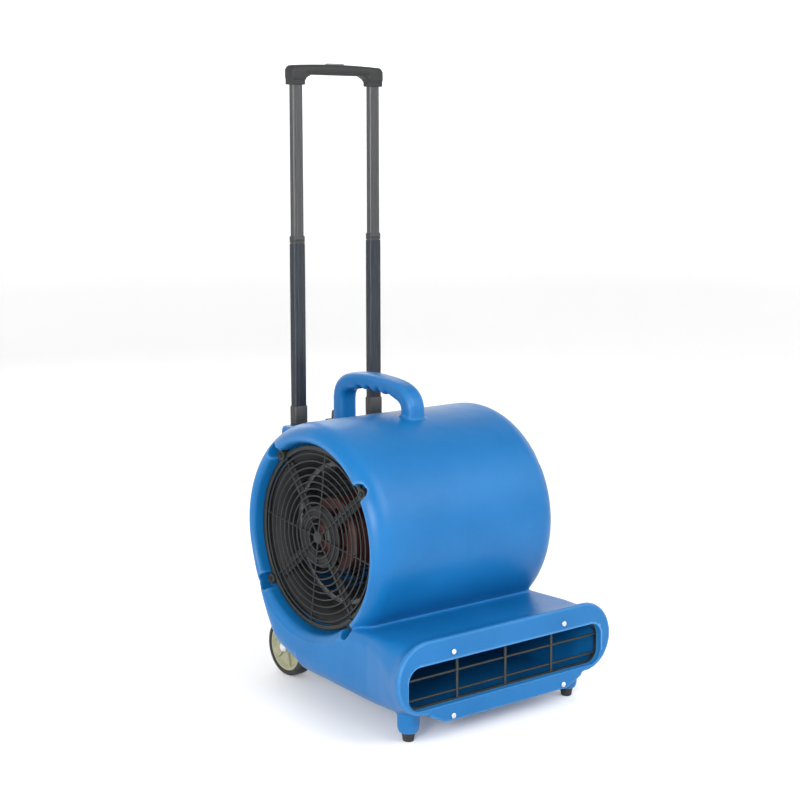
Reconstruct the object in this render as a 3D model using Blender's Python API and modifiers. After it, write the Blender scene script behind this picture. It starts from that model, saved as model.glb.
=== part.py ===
"""Centrifugal floor dryer: snail housing, double-inlet impeller and pull-out luggage handle.

Metres, +Z up. The outlet blows towards -Y, the impeller turns about X, and the origin is on the
floor under the middle of the machine. The luggage handle is modelled pulled out.
"""

import math

import bmesh
import bpy
from mathutils import Matrix, Vector

# ---------------------------------------------------------------- driving dimensions
GAP = 0.0003                 # between pieces that touch
WALL = 0.004                 # moulded housing wall

FRONT_Y = -0.238             # outlet face
DRUM_Y = 0.031               # drum axis
DRUM_Z = 0.2797
DRUM_R = 0.1803
DRUM_HALF = 0.196            # half width over the drum's rims
RIM_ROUND = 0.038

FAN_Y = 0.031                # shaft axis
FAN_Z = 0.275
RECESS_X = 0.161             # floor of the round inlet recess, from the middle plane
RECESS_R = 0.1535
INLET_R = 0.138              # hole in the recess floor
EAR_R = 0.1515               # guard screws' circle
EAR_TURN = math.radians(8.4)  # how far the ears are turned from the diagonals
EAR_SIZE = 0.009
GUARD_FACE = RECESS_X + 0.0112
EAR_FACE = GUARD_FACE + 0.005
POCKET_R = EAR_SIZE + 0.0055  # pocket in the rim round each ear

MOUTH_HALF = 0.203           # outlet opening
MOUTH_LOW = 0.0598
MOUTH_HIGH = 0.1262
MOUTH_ROUND = 0.022
COLLAR_DEPTH = 0.0105        # outlet collar behind the front face

COLUMN_HALF = 0.113          # rear column that holds the handle tubes
COLUMN_LOW_HALF = 0.090      # its narrow foot between the wheels
COLUMN_BACK = 0.210
COLUMN_TOP = 0.428

TUBE_X = 0.081               # pull-out handle
TUBE_Y = 0.2008
TUBE_WALL = 0.0008
OUTER_TUBE = (0.0264, 0.0172, 0.114, 0.430)  # width, depth, lower end, upper end
MIDDLE_TUBE = (0.0238, 0.0150, 0.400, 0.734)
INNER_TUBE = (0.0208, 0.0126, 0.680, 1.0085)
OUTER_BUSH_HEIGHT = 0.031
MIDDLE_BUSH_HEIGHT = 0.013
GRIP_HALF = 0.097
GRIP_DEPTH = 0.013           # half depth
GRIP_LOW = 0.995
GRIP_BAR = 0.0165            # thickness of the grip's bar
GRIP_TOP = 1.0285
BUTTON_HALF = 0.017
BUTTON_TRAVEL = 0.004

HANDLE_HALF = 0.0135         # half the carry handle's thickness
HANDLE_WIDE = 0.0175         # half its width along X

WHEEL_Y = 0.188
WHEEL_R = 0.050
WHEEL_IN = 0.097             # inner and outer faces of the wheels
WHEEL_OUT = 0.125
AXLE_R = 0.005
BORE_CLEARANCE = 0.0003

FOOT_X = 0.169
FOOT_Y = -0.194
FOOT_HEIGHT = 0.013
FOOT_R = 0.0108
BOSS_R = 0.0168              # housing boss over each foot
BOSS_TOP = 0.065

IMPELLER_HALF = 0.122
IMPELLER_R = 0.126
BLADE_IN_R = 0.104
BLADES = 20
MOTOR_R = 0.060
MOTOR_OUT = -0.150           # motor case along X
MOTOR_IN = -0.034
SHAFT_R = 0.007

KNOB_Y = 0.203
KNOB_R = 0.0085
KNOB_HEIGHT = 0.0135

SIDES = {"left": -1, "right": 1}

# ---------------------------------------------------------------- scene and materials
for stale in list(bpy.data.objects):
    bpy.data.objects.remove(stale, do_unlink=True)

PARTS = bpy.data.collections.new("floor_dryer")
WORK = bpy.data.collections.new("floor_dryer_cutters")
bpy.context.scene.collection.children.link(PARTS)
bpy.context.scene.collection.children.link(WORK)


def finish(name, colour, roughness, metallic=0.0):
    material = bpy.data.materials.new(name)
    material.use_nodes = True
    shader = material.node_tree.nodes["Principled BSDF"]
    shader.inputs["Base Color"].default_value = (*colour, 1.0)
    shader.inputs["Roughness"].default_value = roughness
    shader.inputs["Metallic"].default_value = metallic
    return material


BLUE = finish("blue_polyethylene", (0.035, 0.22, 0.56), 0.42)
BLACK = finish("black_plastic", (0.022, 0.022, 0.022), 0.5)
RUBBER = finish("rubber", (0.02, 0.02, 0.021), 0.8)
STEEL = finish("zinc_steel", (0.55, 0.56, 0.57), 0.35, 1.0)
GALVANISED = finish("galvanised_sheet", (0.42, 0.43, 0.44), 0.45, 1.0)
MAROON = finish("motor_paint", (0.13, 0.02, 0.018), 0.5)
GUNMETAL = finish("gunmetal_tube", (0.05, 0.052, 0.056), 0.35, 0.7)
HUB = finish("hub_plastic", (0.23, 0.23, 0.16), 0.5)
COPPER = finish("copper", (0.6, 0.25, 0.12), 0.4, 1.0)
CREAM = finish("capacitor_case", (0.5, 0.5, 0.47), 0.5)


# ---------------------------------------------------------------- modelling helpers
def evaluated_mesh(item):
    bpy.context.view_layer.update()
    return bpy.data.meshes.new_from_object(item.evaluated_get(bpy.context.evaluated_depsgraph_get()))


def freeze(item):
    """Applies the modifiers."""
    mesh = evaluated_mesh(item)
    item.modifiers.clear()
    item.data = mesh
    return item


def tidy_mesh(mesh):
    """Welds loose caps and turns every face outwards."""
    work = bmesh.new()
    work.from_mesh(mesh)
    bmesh.ops.remove_doubles(work, verts=work.verts, dist=1e-6)
    bmesh.ops.recalc_face_normals(work, faces=work.faces)
    work.to_mesh(mesh)
    work.free()


def add(name, mesh, place=None):
    item = bpy.data.objects.new(name, mesh)
    WORK.objects.link(item)
    if place is not None:
        item.matrix_world = place
    return item


def merge_flats(mesh):
    """Joins the slices that Booleans leave on flat faces."""
    work = bmesh.new()
    work.from_mesh(mesh)
    bmesh.ops.dissolve_limit(work, angle_limit=math.radians(0.4), verts=work.verts, edges=work.edges)
    work.to_mesh(mesh)
    work.free()


def publish(item, name, material):
    """Makes a finished piece a node of the part."""
    merge_flats(item.data)
    item.name = name
    item.data.materials.clear()
    item.data.materials.append(material)
    item.data.shade_smooth()
    item.data.set_sharp_from_angle(angle=math.radians(35))
    WORK.objects.unlink(item)
    PARTS.objects.link(item)
    return item


def combine(item, other, operation):
    """Cuts, joins or intersects item with other, which is used up."""
    bpy.context.view_layer.update()
    step = item.modifiers.new(operation.lower(), "BOOLEAN")
    step.operation = operation
    step.solver = "EXACT"
    step.object = other
    freeze(item)
    bpy.data.objects.remove(other, do_unlink=True)
    return item


def cut(item, *others):
    for other in others:
        combine(item, other, "DIFFERENCE")
    return item


def join(item, *others):
    for other in others:
        combine(item, other, "UNION")
    return item


def bevelled(item, width, segments=2, angle=50):
    step = item.modifiers.new("round", "BEVEL")
    step.width = width
    step.segments = segments
    step.limit_method = "ANGLE"
    step.angle_limit = math.radians(angle)
    return freeze(item)


def block(low, high, round_by=0.0, segments=2):
    low = Vector(low)
    high = Vector(high)
    work = bmesh.new()
    bmesh.ops.create_cube(work, size=1.0)
    bmesh.ops.scale(work, vec=high - low, verts=work.verts)
    mesh = bpy.data.meshes.new("block")
    work.to_mesh(mesh)
    work.free()
    item = add("block", mesh, Matrix.Translation((low + high) / 2))
    return bevelled(item, round_by, segments) if round_by else item


def rod(start, end, radius, segments=16, end_radius=None):
    start = Vector(start)
    run = Vector(end) - start
    work = bmesh.new()
    bmesh.ops.create_cone(work, cap_ends=True, segments=segments, radius1=radius,
                          radius2=radius if end_radius is None else end_radius, depth=run.length)
    mesh = bpy.data.meshes.new("rod")
    work.to_mesh(mesh)
    work.free()
    turn = run.to_track_quat("Z", "Y").to_matrix().to_4x4()
    return add("rod", mesh, Matrix.Translation(start + run / 2) @ turn)


def disc(x_low, x_high, radius, segments=40, y=FAN_Y, z=FAN_Z):
    """A round slab about an axis along X."""
    return rod((x_low, y, z), (x_high, y, z), radius, segments)


OUTLINE_FRAMES = {
    "X": Matrix(((0, 0, 1), (1, 0, 0), (0, 1, 0))).to_4x4(),
    "Y": Matrix(((1, 0, 0), (0, 0, -1), (0, 1, 0))).to_4x4(),
    "Z": Matrix.Identity(4),
}


def slab(outline, low, high, axis="X"):
    """A flat outline extruded along an axis. It lies in YZ, XZ or XY."""
    curve = bpy.data.curves.new("outline", "CURVE")
    curve.dimensions = "2D"
    curve.fill_mode = "BOTH"
    curve.extrude = (high - low) / 2
    spline = curve.splines.new("POLY")
    spline.points.add(len(outline) - 1)
    for point, (u, v) in zip(spline.points, outline):
        point.co = (u, v, 0, 1)
    spline.use_cyclic_u = True
    shift = Vector({"X": (1, 0, 0), "Y": (0, 1, 0), "Z": (0, 0, 1)}[axis]) * (low + high) / 2
    drawn = add("outline", curve, Matrix.Translation(shift) @ OUTLINE_FRAMES[axis])
    mesh = evaluated_mesh(drawn)
    tidy_mesh(mesh)
    item = add("slab", mesh, drawn.matrix_world.copy())
    bpy.data.objects.remove(drawn, do_unlink=True)
    return item


def turned(profile, steps, place, closed=True):
    """A profile of (height along the axis, radius) turned about the local Z axis."""
    mesh = bpy.data.meshes.new("turned")
    count = len(profile)
    edges = [(i, (i + 1) % count) for i in range(count if closed else count - 1)]
    mesh.from_pydata([(radius, 0, height) for height, radius in profile], edges, [])
    item = add("turned", mesh, place)
    step = item.modifiers.new("turn", "SCREW")
    step.steps = steps
    step.render_steps = steps
    step.use_merge_vertices = True
    step.merge_threshold = 1e-6
    freeze(item)
    tidy_mesh(item.data)
    return item


def along_x(x, y, z, way=1):
    """The place of a turned piece whose axis points along +X or -X."""
    return Matrix.Translation((x, y, z)) @ Matrix.Rotation(way * math.pi / 2, 4, "Y")


def arc(centre, radius, start, end, count):
    """Points on a circle, both ends included, in degrees."""
    turns = [math.radians(start + (end - start) * i / (count - 1)) for i in range(count)]
    return [(centre[0] + radius * math.cos(t), centre[1] + radius * math.sin(t)) for t in turns]


def rounded(half_u, low_v, high_v, radius, count=4):
    """A rounded rectangle, centred on u = 0."""
    corners = (
        ((half_u - radius, low_v + radius), -90),
        ((half_u - radius, high_v - radius), 0),
        ((radius - half_u, high_v - radius), 90),
        ((radius - half_u, low_v + radius), 180),
    )
    return [p for centre, turn in corners for p in arc(centre, radius, turn, turn + 90, count)]


def bezier(start, start_handle, end_handle, end, count):
    """Points on a cubic curve, without its first."""
    points = []
    for i in range(1, count + 1):
        t = i / count
        a = (1 - t) ** 3
        b = 3 * t * (1 - t) ** 2
        c = 3 * t * t * (1 - t)
        d = t ** 3
        points.append(tuple(a * p + b * q + c * r + d * s
                            for p, q, r, s in zip(start, start_handle, end_handle, end)))
    return points


def inset(outline, distance):
    """The closed outline moved inwards by a distance."""
    count = len(outline)
    area = sum(outline[i - 1][0] * outline[i][1] - outline[i][0] * outline[i - 1][1] for i in range(count))
    side = 1 if area > 0 else -1
    moved = []
    for i in range(count):
        before = (Vector(outline[i]) - Vector(outline[i - 1])).normalized()
        after = (Vector(outline[(i + 1) % count]) - Vector(outline[i])).normalized()
        normal = Vector((-before.y - after.y, before.x + after.x)).normalized() * side
        stretch = max(0.5, abs(normal.dot(Vector((-before.y, before.x)))))
        moved.append(tuple(Vector(outline[i]) + normal * distance / stretch))
    return moved


def band(path, half):
    """The closed outline of a strip of constant width along an open path."""
    left = []
    right = []
    for i, point in enumerate(path):
        before = Vector(path[max(i - 1, 0)])
        after = Vector(path[min(i + 1, len(path) - 1)])
        along = (after - before).normalized()
        across = Vector((-along.y, along.x)) * half
        left.append(tuple(Vector(point) + across))
        right.append(tuple(Vector(point) - across))
    return left + right[::-1]


def loft(sections, axis="Y"):
    """Skins outlines that stand at different places along X or Y, all with the same point count."""
    work = bmesh.new()
    if axis == "X":
        rings = [[work.verts.new((at, u, v)) for u, v in outline] for at, outline in sections]
    else:
        rings = [[work.verts.new((u, at, v)) for u, v in outline] for at, outline in sections]
    count = len(rings[0])
    for one, two in zip(rings, rings[1:]):
        for i in range(count):
            j = (i + 1) % count
            work.faces.new((one[i], one[j], two[j], two[i]))
    work.faces.new(rings[0])
    work.faces.new(rings[-1])
    bmesh.ops.recalc_face_normals(work, faces=work.faces)
    mesh = bpy.data.meshes.new("loft")
    work.to_mesh(mesh)
    work.free()
    return add("loft", mesh)


def mirrored(item):
    """A copy on the other side of the middle plane."""
    work = bmesh.new()
    work.from_mesh(item.data)
    bmesh.ops.transform(work, matrix=Matrix.Scale(-1, 4, (1, 0, 0)) @ item.matrix_world, verts=work.verts)
    bmesh.ops.reverse_faces(work, faces=work.faces)
    mesh = bpy.data.meshes.new("mirrored")
    work.to_mesh(mesh)
    work.free()
    return add("mirrored", mesh)


def ear_points(radius=EAR_R):
    """The four places, as (y, z), of the guard's screws."""
    turns = [EAR_TURN + math.radians(45 + 90 * i) for i in range(4)]
    return [(FAN_Y + radius * math.cos(t), FAN_Z + radius * math.sin(t)) for t in turns]


def pan_screw(head, direction, length, head_r=0.0044, shank_r=0.002):
    """A pan-head screw whose head's underside is at the given point."""
    way = Vector(direction).normalized()
    profile = [(-length, 0), (-length, shank_r), (0, shank_r), (0, head_r), (0.0014, head_r),
               (0.0026, head_r * 0.6), (0.0028, 0)]
    place = Matrix.Translation(head) @ way.to_track_quat("Z", "Y").to_matrix().to_4x4()
    return turned(profile, 10, place, closed=False)


# ---------------------------------------------------------------- housing
def drum_outline():
    """The side outline of drum and floor pan, in YZ, from the crease over the nozzle clockwise.

    The nozzle covers the straight line that closes it.
    """
    centre = (DRUM_Y, DRUM_Z)
    points = arc(centre, DRUM_R, 223.8, -12, 27)
    knee = (0.141, 0.090)
    slope = (0.107, 0.069)
    pan = (0.012, 0.0455)
    points += bezier(points[-1], (0.1955, 0.1925), (0.1705, 0.130), knee, 4)
    points += bezier(knee, (0.133, 0.079), (0.120, 0.074), slope, 2)
    points += bezier(slope, (0.080, 0.058), (0.042, 0.047), pan, 2)
    return points


def drum(shrink, segments):
    """The drum with round rims, in rings whose outline draws in as they near its ends."""
    outline = inset(drum_outline(), shrink) if shrink else drum_outline()
    round_by = RIM_ROUND - shrink
    half = DRUM_HALF - shrink
    rim = []
    for i in range(segments + 1):
        turn = math.pi / 2 * i / segments
        ring_x = half - round_by * (1 - math.sin(turn))
        rim.append((ring_x, inset(outline, round_by * (1 - math.cos(turn)))))
    return loft([(-x, points) for x, points in reversed(rim)] + rim, "X")


NOZZLE = (                    # y, half width, low, high, lower and upper corner radius
    (0.060, 0.1955, 0.0495, 0.140, 0.036, 0.016),
    (-0.098, 0.1955, 0.0385, 0.154, 0.036, 0.016),
    (-0.128, 0.1975, 0.038, 0.154, 0.036, 0.018),
    (-0.168, 0.205, 0.040, 0.154, 0.040, 0.026),
    (-0.196, 0.213, 0.043, 0.1545, 0.044, 0.042),
    (-0.210, 0.2175, 0.046, 0.156, 0.048, 0.052),
    (-0.221, 0.2215, 0.048, 0.159, 0.052, 0.056),
    (-0.232, 0.2255, 0.050, 0.1645, 0.054, 0.060),
    (FRONT_Y, 0.2235, 0.052, 0.1625, 0.053, 0.057),
)


def nozzle_outline(half, low, high, low_r, high_r):
    """A rounded oblong in XZ whose upper corners differ from its lower ones."""
    points = arc((half - low_r, low + low_r), low_r, -90, 0, 5)
    points += arc((half - high_r, high - high_r), high_r, 0, 90, 5)
    points += arc((high_r - half, high - high_r), high_r, 90, 180, 5)
    points += arc((low_r - half, low + low_r), low_r, 180, 270, 5)
    return points


def nozzle(shrink=0.0):
    sections = [(y + (WALL if shrink and y == FRONT_Y else 0.0),
                 nozzle_outline(half - shrink, low + shrink, high - shrink, low_r - shrink, high_r - shrink))
                for y, half, low, high, low_r, high_r in NOZZLE]
    return loft(sections)


SKIRT = [(-0.166, 0.060), (-0.160, 0.045), (-0.130, 0.0305), (0.130, 0.0305), (0.160, 0.045), (0.166, 0.060)]
SKIRT_BACK = -0.110


def handle_path(front_end, rear_end):
    """The carry handle's middle line in YZ, from the front leg to the rear leg."""
    points = [(-0.0035, front_end), (-0.003, 0.468)]
    points += bezier(points[-1], (-0.002, 0.487), (0.012, 0.4975), (0.047, 0.501), 3)
    points += bezier(points[-1], (0.078, 0.5045), (0.112, 0.506), (0.142, 0.502), 2)
    points += bezier(points[-1], (0.166, 0.499), (0.179, 0.488), (0.179, 0.468), 3)
    points += [(0.179, rear_end)]
    return points


def column_solids(shrink=0.0):
    """The rear column: a wide upper block and a narrow foot that carries the axle."""
    back = COLUMN_BACK - shrink
    foot = [(0.092, 0.100), (0.134, 0.078), (0.164, 0.038), (0.186, 0.029), (0.202, 0.031),
            (0.210, 0.044), (0.210, 0.300), (0.092, 0.300)]
    if shrink:
        foot = [(0.080, 0.130), (0.140, 0.084), (0.168, 0.042), (0.188, 0.033), (0.200, 0.035),
                (back, 0.048), (back, 0.300), (0.080, 0.300)]
    low = slab(foot, -COLUMN_LOW_HALF + shrink, COLUMN_LOW_HALF - shrink)
    return back, low


def outer_solid():
    body = join(drum(0.0, 4), nozzle())
    skirt = slab(SKIRT, FRONT_Y, SKIRT_BACK, "Y")
    back, foot = column_solids()
    column = block((-COLUMN_HALF, 0.130, 0.108), (COLUMN_HALF, back, COLUMN_TOP), 0.005, 2)
    join(body, skirt, foot, column)
    for side in (-1, 1):
        low = FOOT_HEIGHT + GAP
        profile = [(low, 0), (low, 0.8 * BOSS_R), (low + 0.009, BOSS_R), (BOSS_TOP, BOSS_R), (BOSS_TOP, 0)]
        boss = turned(profile, 16, Matrix.Translation((side * FOOT_X, FOOT_Y, 0)), closed=False)
        join(body, boss)
    handle = slab(band(handle_path(0.435, 0.405), HANDLE_HALF), -HANDLE_WIDE, HANDLE_WIDE)
    bevelled(handle, 0.007, 2, 50)
    return join(body, handle)


def inner_solid():
    """Everything inside the wall: volute, nozzle, column and the hollow of the carry handle."""
    air = join(drum(WALL, 3), nozzle(WALL))
    for side in (-1, 1):
        cut(air, disc(side * (RECESS_X - WALL), side * 0.21, RECESS_R + WALL, 24))
        for y, z in ear_points():
            cut(air, disc(side * (RECESS_X - WALL), side * 0.21, POCKET_R + WALL, 8, y, z))
    back, foot = column_solids(WALL)
    shaft = block((-0.062, 0.120, 0.150), (0.062, back, COLUMN_TOP - WALL))
    join(air, foot, shaft)
    hollow_wide = HANDLE_WIDE - WALL
    hollow = slab(band(handle_path(0.430, 0.400), HANDLE_HALF - WALL), -hollow_wide, hollow_wide)
    return join(air, hollow)


def tube_slot(side, grow, front, low, high):
    half = OUTER_TUBE[0] / 2 + grow
    return block((side * TUBE_X - half, front, low), (side * TUBE_X + half, COLUMN_BACK + 0.01, high))


def mouth_outline(grow):
    """The outlet opening, in XZ, made larger all round."""
    return rounded(MOUTH_HALF + grow, MOUTH_LOW - grow, MOUTH_HIGH + grow, MOUTH_ROUND + grow)


def housing_half():
    body = outer_solid()
    air = inner_solid()
    recesses = []
    holes = []
    for side in (-1, 1):
        recesses.append(disc(side * RECESS_X, side * 0.21, RECESS_R, 36))
        recesses += [disc(side * RECESS_X, side * 0.21, POCKET_R, 10, y, z) for y, z in ear_points()]
        holes.append(disc(side * 0.155, side * 0.21, INLET_R, 32))
        holes += [disc(side * 0.155, side * 0.175, 0.0023, 6, y, z) for y, z in ear_points()]
    cut(body, *recesses)
    cut(body, air)
    cut(body, *holes)

    collar = slab(mouth_outline(0.0035), FRONT_Y + 0.002, FRONT_Y + COLLAR_DEPTH, "Y")
    opening = slab(mouth_outline(0.0), FRONT_Y - 0.01, FRONT_Y + 0.03, "Y")
    join(body, collar)
    cut(body, opening)

    for side in (-1, 1):
        lining = tube_slot(side, GAP + WALL, TUBE_Y - OUTER_TUBE[1] / 2 - GAP - WALL,
                          OUTER_TUBE[2] - 0.007, COLUMN_TOP - 0.002)
        lining_back = block((-0.5, COLUMN_BACK - 0.001, 0), (0.5, COLUMN_BACK + 0.1, 0.6))
        join(body, cut(lining, lining_back))
    for side in (-1, 1):
        cut(body, tube_slot(side, GAP, TUBE_Y - OUTER_TUBE[1] / 2 - GAP, OUTER_TUBE[2] - GAP, 0.5))

    cut(body, disc(-0.1, 0.1, AXLE_R + GAP, 16, WHEEL_Y, WHEEL_R))
    cut(body, rod((0, KNOB_Y, 0.40), (0, KNOB_Y, 0.45), 0.0048, 12))
    for x, z in outlet_screw_points():
        if x < 0:
            cut(body, rod((x, FRONT_Y - 0.01, z), (x, FRONT_Y + 0.01, z), 0.0023, 8))
    half_space = block((-0.3, -0.3, -0.1), (-GAP / 2, 0.3, 0.6))
    return combine(body, half_space, "INTERSECT")


def outlet_screw_points():
    return [(side * 0.117, z) for side in (-1, 1) for z in (0.1397, 0.0397)]


def make_housing():
    left = housing_half()
    right = mirrored(left)
    cut(right, rod((0.040, 0.190, 0.150), (0.040, 0.230, 0.150), 0.0083, 12))
    publish(left, "housing_left", BLUE)
    publish(right, "housing_right", BLUE)


# ---------------------------------------------------------------- inlets and outlet
def ring(x_low, x_high, inner, outer, steps=32):
    profile = [(x_low, inner), (x_high, inner), (x_high, outer), (x_low, outer)]
    return turned(profile, steps, along_x(0, FAN_Y, FAN_Z))


def make_guard(name, side):
    base = RECESS_X + 0.0052
    guard = ring(base, base + 0.006, 0.1415, 0.1495, 28)
    for i in range(4):
        radius = 0.040 + 0.0245 * i
        join(guard, ring(base + 0.001, base + 0.0045, radius, radius + 0.003, 20))
    join(guard, disc(base + 0.0005, base + 0.0055, 0.0145, 12))
    for i in range(4):
        turn = EAR_TURN + math.radians(90 * i)
        spoke = block((base + 0.0018, -0.0015, 0.012), (base + 0.0052, 0.0015, 0.1435))
        spoke.matrix_world = (Matrix.Translation((0, FAN_Y, FAN_Z))
                              @ Matrix.Rotation(turn, 4, "X") @ spoke.matrix_world)
        join(guard, spoke)
    for y, z in ear_points():
        join(guard, disc(RECESS_X + GAP, EAR_FACE, EAR_SIZE, 10, y, z))
    for y, z in ear_points():
        cut(guard, disc(RECESS_X - 0.01, EAR_FACE + 0.004, 0.0023, 6, y, z))
    if side < 0:
        flipped = mirrored(guard)
        bpy.data.objects.remove(guard, do_unlink=True)
        guard = flipped
    publish(guard, name, BLACK)


def make_inlet_ring(name, side):
    """A bell-mouth: a flange on the recess floor and a throat that narrows towards the impeller."""
    top = RECESS_X + GAP
    outside = [(top, 0.1365), (0.158, 0.126), (0.142, 0.1195), (0.1245, 0.1175)]
    inside = [(0.1245, 0.116), (0.142, 0.118), (0.1585, 0.1245), (top + 0.0015, 0.1345)]
    profile = [(top + 0.0015, 0.142), (top, 0.142)] + outside + inside
    bell = turned(profile, 24, along_x(0, FAN_Y, FAN_Z))
    if side < 0:
        flipped = mirrored(bell)
        bpy.data.objects.remove(bell, do_unlink=True)
        bell = flipped
    publish(bell, name, GUNMETAL)


def make_outlet_guard():
    """A grid behind the outlet collar."""
    front = FRONT_Y + COLLAR_DEPTH + GAP
    frame = slab(mouth_outline(0.003), front, front + 0.004, "Y")
    cut(frame, slab(mouth_outline(-0.003), front - 0.01, front + 0.02, "Y"))
    low = MOUTH_LOW + 0.0015
    high = MOUTH_HIGH - 0.0015
    for z in (0.0743, 0.105):
        join(frame, block((-0.2015, front + 0.0004, z - 0.0013), (0.2015, front + 0.0036, z + 0.0013)))
    for x in (-0.1, 0.0, 0.1):
        join(frame, block((x - 0.0018, front - 0.0012, low), (x + 0.0018, front + 0.003, high)))
    publish(frame, "outlet_guard", BLACK)


def make_screws():
    for side_name, side in SIDES.items():
        for i, (y, z) in enumerate(ear_points()):
            head = (side * (EAR_FACE + GAP), y, z)
            publish(pan_screw(head, (side, 0, 0), 0.0205), f"guard_screw_{side_name}_{i + 1}", GUNMETAL)
    for i, (x, z) in enumerate(outlet_screw_points()):
        publish(pan_screw((x, FRONT_Y - GAP, z), (0, -1, 0), 0.008), f"outlet_screw_{i + 1}", STEEL)


def make_feet():
    for side_name, side in SIDES.items():
        sole = FOOT_R - 0.002
        profile = [(0, 0), (0, sole - 0.001), (0.0015, sole), (FOOT_HEIGHT, FOOT_R), (FOOT_HEIGHT, 0)]
        foot = turned(profile, 20, Matrix.Translation((side * FOOT_X, FOOT_Y, 0)), closed=False)
        publish(foot, f"foot_{side_name}", RUBBER)


# ---------------------------------------------------------------- drive
def make_motor():
    case_in = MOTOR_IN - 0.012
    case_out = MOTOR_OUT + 0.012
    publish(ring(case_out + GAP, case_in - GAP, MOTOR_R - 0.0025, MOTOR_R, 20), "motor_can", MAROON)
    stator = ring(case_out + 0.020, case_in - 0.020, 0.034, MOTOR_R - 0.0030 - GAP, 20)
    publish(stator, "motor_stator", COPPER)
    publish(ring(case_out + 0.022, case_in - 0.022, SHAFT_R + GAP, 0.033, 16), "motor_rotor", GALVANISED)
    for name, way, x in (("motor_end_outer", -1, case_out), ("motor_end_inner", 1, case_in)):
        profile = [(-0.004, 0.012), (0.012, 0.012), (0.012, 0.026), (0.004, 0.052), (0.0, MOTOR_R),
                   (-0.0002, 0.050), (-0.004, 0.020)]
        if way < 0:
            profile = [(-h, r) for h, r in profile]
        publish(turned(profile, 20, along_x(x, FAN_Y, FAN_Z)), name, MAROON)
    for name, x in (("motor_bearing_outer", case_out - 0.004), ("motor_bearing_inner", case_in + 0.004)):
        publish(ring(x - 0.004, x + 0.004, SHAFT_R + GAP, 0.012 - GAP, 16), name, STEEL)
    shaft = disc(case_out - 0.009, 0.030, SHAFT_R, 16)
    publish(shaft, "motor_shaft", STEEL)


def make_spider():
    """The bracket that hangs the motor in the left inlet."""
    face = RECESS_X + 0.0015 + 2 * GAP
    plate_low = -face - 0.0025
    bracket = ring(plate_low, -face, 0.030, 0.050, 20)
    for y, z in ear_points(1.0):
        turn = math.atan2(z - FAN_Z, y - FAN_Y) - math.pi / 2
        arm = block((plate_low, -0.009, 0.045), (-face, 0.009, 0.1395))
        arm.matrix_world = (Matrix.Translation((0, FAN_Y, FAN_Z))
                            @ Matrix.Rotation(turn, 4, "X") @ arm.matrix_world)
        join(bracket, arm)
    cup = ring(-face - 0.001, MOTOR_OUT - GAP, 0.030, 0.034, 20)
    join(bracket, cup)
    publish(bracket, "motor_spider", GUNMETAL)


def blade_outline():
    """A forward-curved blade between the two radii, in YZ about the shaft."""
    middle = bezier((BLADE_IN_R, -0.004), (BLADE_IN_R + 0.006, -0.004), (IMPELLER_R - 0.006, 0.0),
                    (IMPELLER_R - 0.0015, 0.010), 2)
    path = [(BLADE_IN_R, -0.004)] + middle
    return band(path, 0.0006)


def make_impeller():
    wheel = ring(-IMPELLER_HALF, -IMPELLER_HALF + 0.003, BLADE_IN_R + 0.004, IMPELLER_R, 24)
    far = ring(IMPELLER_HALF - 0.003, IMPELLER_HALF, BLADE_IN_R + 0.004, IMPELLER_R, 24)
    plate = ring(-0.001, 0.001, 0.0205, IMPELLER_R - 0.002, 24)
    one = slab(blade_outline(), 0.0015 - IMPELLER_HALF, IMPELLER_HALF - 0.0015)
    work = bmesh.new()
    for i in range(BLADES):
        copy = one.data.copy()
        copy.transform(Matrix.Translation((0, FAN_Y, FAN_Z))
                       @ Matrix.Rotation(2 * math.pi * i / BLADES, 4, "X") @ one.matrix_world)
        work.from_mesh(copy)
        bpy.data.meshes.remove(copy)
    mesh = bpy.data.meshes.new("blades")
    work.to_mesh(mesh)
    work.free()
    bpy.data.objects.remove(one, do_unlink=True)
    wheel = join(plate, add("blades", mesh), wheel, far)
    publish(wheel, "impeller", GALVANISED)

    flange = [(-0.014, SHAFT_R + GAP), (0.016, SHAFT_R + GAP), (0.016, 0.017), (0.0045, 0.017),
              (0.0045, 0.032), (0.001 + GAP, 0.032), (0.001 + GAP, 0.0202), (-0.014, 0.0202)]
    publish(turned(flange, 16, along_x(0, FAN_Y, FAN_Z)), "impeller_hub", STEEL)


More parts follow.
